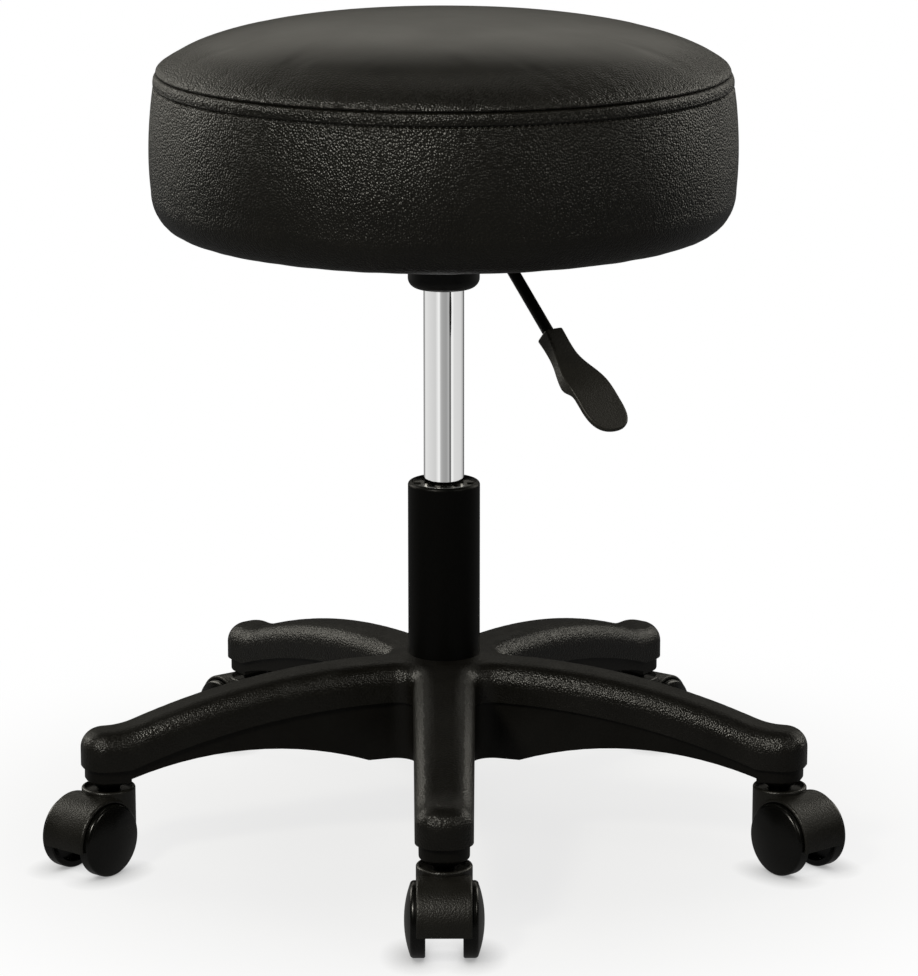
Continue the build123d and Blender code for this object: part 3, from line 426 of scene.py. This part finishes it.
# Sewing gathers the fabric finely along the seam, and stapling tucks it in wide soft folds below.
GATHER_ABOVE = 0.34 * MM
GATHER_ABOVE_FADE = 8 * MM
GATHER_BELOW = 0.26 * MM
GATHER_BELOW_FADE = 6 * MM
GATHER_SPACING = 3.4 * MM
GATHER_LENGTH = 24 * MM
GATHER_LEAST = 0.01 * MM
TUCK_DEPTH = 0.8 * MM
TUCK_START = 95 * MM
TUCK_RUN = 45 * MM
TUCK_SPACING = 16 * MM
TUCK_LENGTH = 90 * MM


def cover_ring(distance):
    """The ring of the finished cover at a distance down from the seam: sewn, gathered and tucked."""
    radius, level, out_r, out_z = on_profile(distance)
    place = np.interp(distance, SWELL_ROWS, np.arange(len(SWELL_ROWS)))
    upper = min(int(place), len(SWELL_ROWS) - 2)
    stand = fine_swell[upper] + (fine_swell[upper + 1] - fine_swell[upper]) * (place - upper)
    stand -= SEAM_DEPTH * np.exp(-abs(distance) / SEAM_WIDTH)
    stand += ALLOWANCE_ROLL * np.exp(-((distance - ALLOWANCE_ROLL_DROP) / ALLOWANCE_ROLL_WIDTH) ** 2)
    stand += PANEL_ROLL * np.exp(-((distance + PANEL_ROLL_RISE) / PANEL_ROLL_WIDTH) ** 2)
    pulled = np.cos(STITCH_COUNT * TURNS)
    from_stitch = distance - STITCH_DROP - STITCH_WAVER * pulled
    pull = 1 - STITCH_PULL + STITCH_PULL * pulled
    stand -= STITCH_DEPTH * np.exp(-(from_stitch / STITCH_WIDTH) ** 2) * pull
    stand += FOOT_BULGE * np.exp(-((distance - FOOT_TURN) / FOOT_BULGE_WIDTH) ** 2)
    if distance < 0:
        gather = GATHER_ABOVE * np.exp(distance / GATHER_ABOVE_FADE)
    else:
        gather = GATHER_BELOW * np.exp(-max(0, distance - STITCH_DROP) / GATHER_BELOW_FADE)
    if gather > GATHER_LEAST:
        stand += gather * ripple(distance, GATHER_SPACING, GATHER_LENGTH)
    tuck = TUCK_DEPTH * np.clip((distance - TUCK_START) / TUCK_RUN, 0, 1)
    if tuck > 0:
        stand += tuck * ripple(distance, TUCK_SPACING, TUCK_LENGTH)
    reach = radius + stand * out_r
    return np.stack([reach * np.cos(TURNS), reach * np.sin(TURNS), level + stand * out_z], axis=1)


PEBBLE = 1.5 * MM
PEBBLE_DEPTH = 0.6 * MM
PEBBLE_SHIFT = 0.8 * MM
SHIFT_SIZE = 5 * MM
WEAR_PATCH = 45 * MM
TAUT_RADIUS = 155 * MM
SLACK_RADIUS = 190 * MM
TAUT_GRAIN = 0.06


def pebbled_fabric():
    """Coated fabric with an embossed pebble grain: it glints in points.

    On the top, where it is stretched, it is almost smooth. The real pebbles are nearer to 1 mm, and
    are drawn coarser so that they show.
    """
    material, tree, shader, place = new_material("pebbled_coated_fabric", Specular_IOR_Level=0.42)
    drift = add(tree, "ShaderNodeTexNoise", {"Vector": place, "Scale": 1 / SHIFT_SIZE, "Detail": 2.0})
    warped = add(tree, "ShaderNodeVectorMath", {
        0: drift.outputs["Color"], 1: (PEBBLE_SHIFT, PEBBLE_SHIFT, PEBBLE_SHIFT), 2: place},
        operation="MULTIPLY_ADD")
    pebble = add(tree, "ShaderNodeTexVoronoi", {
        "Vector": warped.outputs["Vector"], "Scale": 1 / PEBBLE, "Randomness": 1.0})
    cloud = add(tree, "ShaderNodeTexNoise", {"Vector": place, "Scale": 1 / WEAR_PATCH, "Detail": 2.0})
    spread = add(tree, "ShaderNodeVectorMath", {0: place, 1: (1.0, 1.0, 0.0)}, operation="MULTIPLY")
    reach = add(tree, "ShaderNodeVectorMath", {0: spread.outputs["Vector"]}, operation="LENGTH")
    depth = add(tree, "ShaderNodeMapRange", {
        "Value": reach.outputs["Value"], "From Min": TAUT_RADIUS, "From Max": SLACK_RADIUS,
        "To Min": TAUT_GRAIN, "To Max": 1.0})
    bump = add(tree, "ShaderNodeBump", {
        "Height": pebble.outputs["Distance"], "Strength": depth.outputs["Result"],
        "Distance": PEBBLE_DEPTH}, invert=True)
    tree.links.new(bump.outputs["Normal"], shader.inputs["Normal"])
    tone = add(tree, "ShaderNodeMixRGB", {
        "Fac": cloud.outputs["Fac"], 1: linear("#100f0c"), 2: linear("#161511")})
    tree.links.new(tone.outputs["Color"], shader.inputs["Base Color"])
    gloss = add(tree, "ShaderNodeMapRange", {
        "Value": cloud.outputs["Fac"], "From Min": NOISE_LOW, "From Max": NOISE_HIGH,
        "To Min": 0.31, "To Max": 0.35})
    tree.links.new(gloss.outputs["Result"], shader.inputs["Roughness"])
    return material


def piece(name, points, faces, material, body):
    """A finished mesh piece that rides on a body."""
    mesh = bpy.data.meshes.new(name)
    mesh.from_pydata(points, [], faces)
    mesh.polygons.foreach_set("use_smooth", [True] * len(mesh.polygons))
    mesh.materials.append(material)
    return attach(link(name, mesh), body)


def spaced(start, *stretches):
    """Distances from a start on through stretches, each given by its end and its number of steps."""
    rows = [start]
    for end, steps in stretches:
        rows.extend(np.linspace(rows[-1], end, steps + 1)[1:])
    return rows


def ring_faces(counts):
    """Faces between rings of points. A ring may have several times the points of the one before."""
    faces = []
    first = 0
    for upper, lower in zip(counts, counts[1:]):
        below = first + upper
        ratio = lower // upper
        for at in range(upper):
            foot = [below + (at * ratio + step) % lower for step in range(ratio + 1)]
            faces.append([first + at] + foot + [first + (at + 1) % upper])
        first = below
    return faces


# Rows lie closer towards the seam, and the rings near the middle have fewer points.
cover_fabric = pebbled_fabric()
panel_rows = spaced(along[0] + 6 * MM, (-60 * MM, 17), (-20 * MM, 10), (-4 * MM, 12), (0, 14))
panel_counts = [AROUND // 16] * 6 + [AROUND // 4] * 13
panel_counts += [AROUND] * (len(panel_rows) - len(panel_counts))
panel_points = [(0, 0, panel_high.z)]
for distance, count in zip(panel_rows, panel_counts):
    panel_points.extend(map(tuple, cover_ring(distance)[::AROUND // count]))
panel_faces = [[0, 1 + at, 1 + (at + 1) % panel_counts[0]] for at in range(panel_counts[0])]
panel_faces += [[1 + corner for corner in face] for face in ring_faces(panel_counts)]
top_panel = piece("seat_top_cover", panel_points, panel_faces, cover_fabric, "seat")
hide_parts("seat_top_panel", "seat_foam")

# The band's rows lie closer at the seam, at the stitches and where the foot turns under.
band_rows = spaced(
    0, (2 * MM, 7), (7.2 * MM, 7), (11.2 * MM, 13), (30 * MM, 11), (76 * MM, 9), (along[-1], 25))
band_points = [tuple(point) for distance in band_rows for point in cover_ring(distance)]
band_faces = ring_faces([AROUND] * len(band_rows))
band = piece("seat_band_cover", band_points, band_faces, cover_fabric, "seat")
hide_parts("seat_side_band")


# Seam thread. Bonded polyester, sewn through the band and the seam allowance behind it. Each stitch
# sinks into the cover at both ends, so the row reads as a line of small beads.

def geometry_tree(name, **sockets):
    """A geometry tree with a mesh in and out, and one named input for each size it works from."""
    tree = bpy.data.node_groups.new(name, "GeometryNodeTree")
    tree.interface.new_socket("Geometry", in_out="OUTPUT", socket_type="NodeSocketGeometry")
    tree.interface.new_socket("Geometry", in_out="INPUT", socket_type="NodeSocketGeometry")
    for title, kind in sockets.items():
        tree.interface.new_socket(title, in_out="INPUT", socket_type="NodeSocket" + kind)
    return tree, add(tree, "NodeGroupInput").outputs


def laid_along(name, ring, tree, body, **values):
    """What a geometry tree lays along a closed ring of points, as a plain mesh that rides on a body."""
    path = bpy.data.meshes.new(name)
    path.from_pydata(ring, [(at, (at + 1) % len(ring)) for at in range(len(ring))], [])
    carrier = link(name + "_path", path)
    modifier = carrier.modifiers.new("laid", "NODES")
    modifier.node_group = tree
    for socket in tree.interface.items_tree:
        if socket.name in values:
            modifier[socket.identifier] = values[socket.name]
    mesh = bpy.data.meshes.new_from_object(carrier.evaluated_get(bpy.context.evaluated_depsgraph_get()))
    bpy.data.objects.remove(carrier)
    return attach(link(name, mesh), body)


def row_of_stitches():
    """Stitches as slim beads, end to end along a path."""
    tree, given = geometry_tree(
        "row_of_stitches", Count="Int", Length="Float", Thickness="Float", Finish="Material")
    path = add(tree, "GeometryNodeMeshToCurve", {"Mesh": given["Geometry"]})
    spots = add(tree, "GeometryNodeCurveToPoints", {
        "Curve": path.outputs["Curve"], "Count": given["Count"]}, mode="COUNT")
    turned = add(tree, "FunctionNodeAlignRotationToVector", {
        "Vector": spots.outputs["Tangent"]}, axis="Z")
    bead = add(tree, "GeometryNodeMeshUVSphere", {"Segments": 6, "Rings": 6, "Radius": 0.5})
    size = add(tree, "ShaderNodeCombineXYZ", {
        "X": given["Thickness"], "Y": given["Thickness"], "Z": given["Length"]})
    laid = add(tree, "GeometryNodeInstanceOnPoints", {
        "Points": spots.outputs["Points"], "Instance": bead.outputs["Mesh"],
        "Rotation": turned.outputs["Rotation"], "Scale": size.outputs["Vector"]})
    real = add(tree, "GeometryNodeRealizeInstances", {"Geometry": laid.outputs["Instances"]})
    finished = add(tree, "GeometryNodeSetMaterial", {
        "Geometry": real.outputs["Geometry"], "Material": given["Finish"]})
    add(tree, "NodeGroupOutput", {"Geometry": finished.outputs["Geometry"]})
    return tree


THREAD = 0.8 * MM
THREAD_TWIST = 0.5 * MM
STITCH_PITCH = 2 * pi * SEAM_RADIUS / STITCH_COUNT
STITCH_LENGTH = 0.92 * STITCH_PITCH


def bonded_thread():
    """Bonded polyester thread: twisted, close-laid and faintly shiny."""
    material, tree, shader, place = new_material(
        "bonded_polyester_thread", Base_Color=linear("#0b0b0a"), Specular_IOR_Level=0.25)
    twist = add(tree, "ShaderNodeTexNoise", {"Vector": place, "Scale": 1 / THREAD_TWIST, "Detail": 1.0})
    gloss = add(tree, "ShaderNodeMapRange", {
        "Value": twist.outputs["Fac"], "To Min": 0.45, "To Max": 0.7})
    tree.links.new(gloss.outputs["Result"], shader.inputs["Roughness"])
    return material


stitch_groove = cover_ring(STITCH_DROP)
seam_stitches = laid_along(
    "seam_stitches", stitch_groove, row_of_stitches(), "seat", Count=STITCH_COUNT, Length=STITCH_LENGTH,
    Thickness=THREAD, Finish=bonded_thread())


# Dust cover. Black non-woven cloth cut round, trapped by the seat plate and stapled over the hem of
# the band, so that it dips from the board to the hem near its edge and puckers between the staples.

FIBRE_SPACING = 1.4 * MM
FIBRE_DEPTH = 0.1 * MM


def spun_cloth():
    """Non-woven cloth: matt, with short fibres pressed at random, drawn coarser so that they show."""
    material, tree, shader, place = new_material(
        "black_spun_cloth", Base_Color=linear("#141414"), Roughness=0.95, Specular_IOR_Level=0.15)
    fibres = add(tree, "ShaderNodeTexVoronoi", {"Vector": place, "Scale": 1 / FIBRE_SPACING})
    bump = add(tree, "ShaderNodeBump", {
        "Height": fibres.outputs["Distance"], "Strength": 1.0, "Distance": FIBRE_DEPTH})
    tree.links.new(bump.outputs["Normal"], shader.inputs["Normal"])
    return material


dust_low, dust_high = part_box("dust_cover")
DUST_RADIUS = dust_high.x
DUST_STEP = (136 * MM, 140.5 * MM)
DUST_THICKNESS = 0.7 * MM
DUST_PUCKER = 0.5 * MM
STAPLE_COUNT = 40
DUST_AROUND = 12 * STAPLE_COUNT
dust_turns = np.linspace(0, 2 * pi, DUST_AROUND, endpoint=False)


def dust_ring(reach):
    """One ring of the cloth's underside: flat under the plate, then a step down and small puckers."""
    drop = np.interp(reach, DUST_STEP, (0, dust_high.z - dust_low.z - DUST_THICKNESS))
    loose = np.interp(reach, (DUST_STEP[0], DUST_RADIUS), (0, DUST_PUCKER))
    level = dust_high.z - DUST_THICKNESS - drop - loose * (1 - np.cos(STAPLE_COUNT * dust_turns)) / 2
    return np.stack([reach * np.cos(dust_turns), reach * np.sin(dust_turns), level], axis=1)


dust_reaches = spaced(10 * MM, (130 * MM, 6), (134 * MM, 1), (DUST_RADIUS, 15))
dust_points = [(0, 0, dust_high.z - DUST_THICKNESS)]
dust_points += [tuple(point) for reach in dust_reaches for point in dust_ring(reach)]
dust_faces = [[0, 1 + (at + 1) % DUST_AROUND, 1 + at] for at in range(DUST_AROUND)]
dust_faces += [
    [1 + corner for corner in reversed(face)] for face in ring_faces([DUST_AROUND] * len(dust_reaches))]
dust_cloth = piece("dust_cover_cloth", dust_points, dust_faces, spun_cloth(), "seat")
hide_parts("dust_cover")


# Staples. Zinc-plated steel wire, bent square, with crowns 10 mm wide. They are shot through the dust
# cover and the hem of the band into the board, end to end round the seat.

def ring_of_staples():
    """Bent wire staples, each one along the path, with its legs upward."""
    tree, given = geometry_tree(
        "ring_of_staples", Count="Int", Width="Float", Height="Float", Wire="Float", Finish="Material")
    path = add(tree, "GeometryNodeMeshToCurve", {"Mesh": given["Geometry"]})
    spots = add(tree, "GeometryNodeCurveToPoints", {
        "Curve": path.outputs["Curve"], "Count": given["Count"]}, mode="COUNT")
    turned = add(tree, "FunctionNodeAlignRotationToVector", {
        "Vector": spots.outputs["Tangent"]}, axis="X")
    loop = add(tree, "GeometryNodeCurvePrimitiveQuadrilateral", {
        "Width": given["Width"], "Height": given["Height"]})
    bent = add(tree, "GeometryNodeFilletCurve", {
        "Curve": loop.outputs["Curve"], "Radius": given["Wire"], "Count": 2, "Limit Radius": True},
        mode="POLY")
    upright = add(tree, "GeometryNodeTransform", {
        "Geometry": bent.outputs["Curve"], "Rotation": (pi / 2, 0, 0)})
    section = add(tree, "GeometryNodeCurvePrimitiveCircle", {"Resolution": 6, "Radius": given["Wire"]})
    wire = add(tree, "GeometryNodeCurveToMesh", {
        "Curve": upright.outputs["Geometry"], "Profile Curve": section.outputs["Curve"]})
    laid = add(tree, "GeometryNodeInstanceOnPoints", {
        "Points": spots.outputs["Points"], "Instance": wire.outputs["Mesh"],
        "Rotation": turned.outputs["Rotation"]})
    real = add(tree, "GeometryNodeRealizeInstances", {"Geometry": laid.outputs["Instances"]})
    finished = add(tree, "GeometryNodeSetMaterial", {
        "Geometry": real.outputs["Geometry"], "Material": given["Finish"]})
    add(tree, "NodeGroupOutput", {"Geometry": finished.outputs["Geometry"]})
    return tree


STAPLE_RADIUS = 150 * MM
STAPLE_WIDTH = 10 * MM
STAPLE_HEIGHT = 4 * MM
STAPLE_WIRE = 0.45 * MM
staple_level = dust_low.z + STAPLE_HEIGHT / 2
staple_path = [
    (STAPLE_RADIUS * cos(turn), STAPLE_RADIUS * sin(turn), staple_level) for turn in dust_turns]
laid_along(
    "hem_staples", staple_path, ring_of_staples(), "seat", Count=STAPLE_COUNT, Width=STAPLE_WIDTH,
    Height=STAPLE_HEIGHT, Wire=STAPLE_WIRE, Finish=zinc_steel)


# Release lever's handle. A flat paddle moulded in polypropylene and pushed over the end of the rod.
# It has a fine eroded grain, so it is a dull, slightly greyer black than the base.

handle_plastic = moulded_plastic(
    "grained_polypropylene", "#1e1d1a", "#262522", grain=1.2 * MM, depth=0.1 * MM, roughness=0.45,
    specular=0.3)
dress(handle_plastic, "lever_handle")


# Castors. Nylon hoods with a leather-like moulded grain, and smooth nylon wheels pushed onto steel
# axles. A stem turns in each hood and grips the socket in the arm's tip. The dish round the stem is
# drawn in the darker, smooth nylon of the base's webs, which paints shade into it, and the wheels are
# glossy.

hood_nylon = moulded_plastic(
    "grained_hood_nylon", "#11100d", "#181713", grain=1.1 * MM, depth=0.16 * MM, roughness=0.37)
wheel_nylon = moulded_plastic(
    "smooth_wheel_nylon", "#070706", "#0a0a08", grain=1.6 * MM, depth=0.01 * MM, roughness=0.23,
    specular=0.4)
DISH_RADIUS = 16.7 * MM
DISH_FLOOR = 53.1 * MM
DISH_PAINTED_SHADE_SLOT = 1
stem_places = {joint["name"]: Vector(joint["pos_m"]) for joint in frame["joints"] if "pos_m" in joint}
for index in range(1, 6):
    dress(wheel_nylon, f"castor_wheel_left_{index}", f"castor_wheel_right_{index}")
    dress(hood_nylon, f"castor_hood_{index}")
    hood = nodes[f"castor_hood_{index}"].data
    hood.materials.append(smooth_painted_shade_nylon)
    stem = stem_places[f"castor_{index}_swivel"]
    # Faces in the dish round the stem take the darker nylon: painted shade.
    for face in hood.polygons:
        from_stem = (face.center - stem).to_2d().length
        if from_stem < DISH_RADIUS and face.center.z > DISH_FLOOR:
            face.material_index = DISH_PAINTED_SHADE_SLOT


# Floor. White paper, pale and matt. It keeps the stool's soft shadow, adds a painted shadow under the
# stool and round the wheels, and runs out into plain white.
# Round it the paper's glow is painted in bands that only mirror reflections see, standing for cards
# out of the picture, and the bright metal shows them as upright stripes: a painted reflection.

FLOOR_RADIUS = 6.0
FLOOR_SIDES = 96
floor_mesh = bpy.data.meshes.new("floor")
floor_turns = np.linspace(0, 2 * pi, FLOOR_SIDES, endpoint=False)
floor_ring = [Vector((cos(turn), sin(turn), 0)) * FLOOR_RADIUS for turn in floor_turns]
floor_mesh.from_pydata(floor_ring, [], [tuple(range(len(floor_ring)))])
link("floor", floor_mesh)

# Painted card bands and the gaps between them, seen only in mirror reflections: degrees round to the
# right from the front, and how bright it is there. The front is a quarter of the way along the ramp.
# The left band is at its two ends.
FRONT_OF_RAMP = 0.25
LEFT_PAINTED_BAND = 0.76
PAINTED_CARD_BANDS = [
    (-140, 0.3), (-128, 0.84), (-48, 0.68), (-36, 0.86), (-26, 1.0), (-17, 0.5), (-6, 0.4), (14, 0.36),
    (28, 0.5), (34, 0.12), (40, 0.16), (43, 1.0), (52, 0.94), (60, 0.76), (110, 0.72), (134, 0.5),
    (142, 0.12)]
# The share of plain white in the paper, and its brightness, which both grow outwards from under the
# stool. The darker paper under the stool is a painted shadow.
WHITE_SHARE = 0.88
WHITE_START = 0.15
# Close round a wheel the paper is darker, a painted contact shadow, down to this tone where it is
# closed in.
WHITE_END = 0.55
UNDER_SHADOW_TONE = 0.88
UNDER_SHADOW_START = 0.05
UNDER_SHADOW_END = 0.47
# Close round a wheel the paper is darker, down to this tone where it is closed in.
CONTACT_SHADOW_REACH = 20 * MM
CONTACT_SHADOW_CLOSED = 0.2
CONTACT_SHADOW_TONE = 0.4
# How bright the paper is in the soft sheen of the plastics.
SHEEN_TONE = 0.1


def studio_floor():
    """White paper with a painted shadow under the stool and round the wheels, plain white further out.
    """
    material = bpy.data.materials.new("studio_paper")
    material.use_nodes = True
    tree = material.node_tree
    tree.nodes.remove(tree.nodes["Principled BSDF"])
    paper = add(tree, "ShaderNodeBsdfDiffuse", {"Color": linear("#f4f4f4")})
    place = add(tree, "ShaderNodeTexCoord").outputs["Object"]
    reach = add(tree, "ShaderNodeVectorMath", {0: place}, operation="LENGTH").outputs["Value"]
    share = add(tree, "ShaderNodeMapRange", {
        "Value": reach, "From Min": WHITE_START, "From Max": WHITE_END,
        "To Min": WHITE_SHARE, "To Max": 1.0}, interpolation_type="SMOOTHSTEP")
    rays = add(tree, "ShaderNodeLightPath").outputs
    around = add(tree, "ShaderNodeTexGradient", {"Vector": place}, gradient_type="RADIAL")
    painted_bands = add(tree, "ShaderNodeValToRGB", {"Fac": around.outputs["Fac"]})
    ramp = painted_bands.color_ramp
    for angle, tone in PAINTED_CARD_BANDS:
        ramp.elements.new((FRONT_OF_RAMP + angle / 360) % 1).color = (tone, tone, tone, 1)
    for end in (ramp.elements[0], ramp.elements[-1]):
        end.color = (LEFT_PAINTED_BAND, LEFT_PAINTED_BAND, LEFT_PAINTED_BAND, 1)
    # Mirror reflections see the painted bands, and other reflections see the dim sheen tone.
    mirrored = add(tree, "ShaderNodeMix", {
        "Factor": rays["Is Singular Ray"], "A": SHEEN_TONE, "B": painted_bands.outputs["Color"]})
    shade = add(tree, "ShaderNodeMapRange", {
        "Value": reach, "From Min": UNDER_SHADOW_START, "From Max": UNDER_SHADOW_END,
        "To Min": UNDER_SHADOW_TONE, "To Max": 1.0}, interpolation_type="SMOOTHSTEP")
    nearby = add(tree, "ShaderNodeAmbientOcclusion", {"Distance": CONTACT_SHADOW_REACH}, samples=8)
    contact_shadow = add(tree, "ShaderNodeMapRange", {
        "Value": nearby.outputs["AO"], "From Min": CONTACT_SHADOW_CLOSED,
        "To Min": CONTACT_SHADOW_TONE, "To Max": 1.0})
    shadowed = add(tree, "ShaderNodeMath", {
        0: shade.outputs["Result"], 1: contact_shadow.outputs["Result"]}, operation="MULTIPLY")
    strength = add(tree, "ShaderNodeMix", {
        "Factor": rays["Is Camera Ray"], "A": mirrored.outputs["Result"],
        "B": shadowed.outputs["Value"]})
    white = add(tree, "ShaderNodeEmission", {"Strength": strength.outputs["Result"]})
    seen = add(tree, "ShaderNodeMath", {
        0: rays["Is Camera Ray"], 1: rays["Is Glossy Ray"]}, operation="MAXIMUM")
    seen = add(tree, "ShaderNodeMath", {
        0: seen.outputs["Value"], 1: rays["Is Transmission Ray"]}, operation="MAXIMUM")
    factor = add(tree, "ShaderNodeMath", {
        0: share.outputs["Result"], 1: seen.outputs["Value"]}, operation="MULTIPLY")
    mix = add(tree, "ShaderNodeMixShader", {
        "Fac": factor.outputs["Value"], 1: paper.outputs["BSDF"], 2: white.outputs["Emission"]})
    tree.links.new(mix.outputs["Shader"], tree.nodes["Material Output"].inputs["Surface"])
    return material


floor_mesh.materials.append(studio_floor())


# Studio. A dim room with soft boxes behind, at the sides and above, and a small key light in front.
# The lamps are a little warm, as the blacks are in the photograph. The room's walls are white to the
# camera, and pale grey in the bright metal.

ROOM_LIGHT = 0.012
WALLS_MIRRORED = 0.7
WALLS_SEEN = 1.0
world = bpy.data.worlds.new("studio")
world.use_nodes = True
bpy.context.scene.world = world
sky = world.node_tree
sky.nodes["Background"].inputs["Color"].default_value = linear("#ffffff")
rays = add(sky, "ShaderNodeLightPath").outputs
room = add(sky, "ShaderNodeMix", {
    "Factor": rays["Is Singular Ray"], "A": ROOM_LIGHT, "B": WALLS_MIRRORED})
walls = add(sky, "ShaderNodeMix", {
    "Factor": rays["Is Camera Ray"], "A": room.outputs["Result"], "B": WALLS_SEEN})
sky.links.new(walls.outputs["Result"], sky.nodes["Background"].inputs["Strength"])
LAMP_COLOUR = (1.0, 0.965, 0.86)


def soft_box(name, place, aim, size, watts):
    """A soft box that the camera doesn't see."""
    lamp = bpy.data.lights.new(name, "AREA")
    lamp.shape = "RECTANGLE"
    lamp.size, lamp.size_y = size
    lamp.energy = watts
    lamp.color = LAMP_COLOUR
    made = link(name, lamp)
    made.location = place
    made.rotation_euler = (Vector(aim) - Vector(place)).to_track_quat("-Z", "Y").to_euler()
    made.visible_camera = False


soft_box("back_box", place=(0, 2.4, 1.46), aim=(0, 0, 0.55), size=(3.2, 1.0), watts=6)
soft_box("left_box", place=(-1.7, 1.2, 1.1), aim=(0, 0, 0.4), size=(0.9, 1.4), watts=15)
soft_box("right_box", place=(1.7, 1.2, 1.1), aim=(0, 0, 0.4), size=(0.9, 1.4), watts=12)
soft_box("key_box", place=(-1.2, -1.7, 1.95), aim=(0, 0, 0.4), size=(0.45, 0.45), watts=40)
soft_box("fill_box", place=(1.7, -1.2, 1.6), aim=(0, 0, 0.4), size=(0.7, 0.7), watts=8)
soft_box("overhead_box", place=(0, 0.6, 2.4), aim=(0, 0, 0.2), size=(1.2, 1.0), watts=2)


# Camera. It stands at the photograph's distance and height and looks down at its angle, on a long
# lens. The middle of the picture is a little to the right of the column.

CAMERA_DISTANCE = 2.7708
CAMERA_HEIGHT = 0.9189
CAMERA_DIP = 13.629
IMAGE_LONG_SIDE = 976
FOCAL_PIXELS = 4116.7
AXIS_OFFSET_PIXELS = 15.5
SENSOR = 36
lens = bpy.data.cameras.new("camera")
lens.sensor_width = SENSOR
lens.lens = FOCAL_PIXELS * SENSOR / IMAGE_LONG_SIDE
camera = link("camera", lens)
camera.location = (0, -CAMERA_DISTANCE, CAMERA_HEIGHT)
camera.rotation_euler = (radians(90 - CAMERA_DIP), 0, -atan(AXIS_OFFSET_PIXELS / FOCAL_PIXELS))
bpy.context.scene.camera = camera
bpy.context.scene.view_settings.view_transform = "Standard"
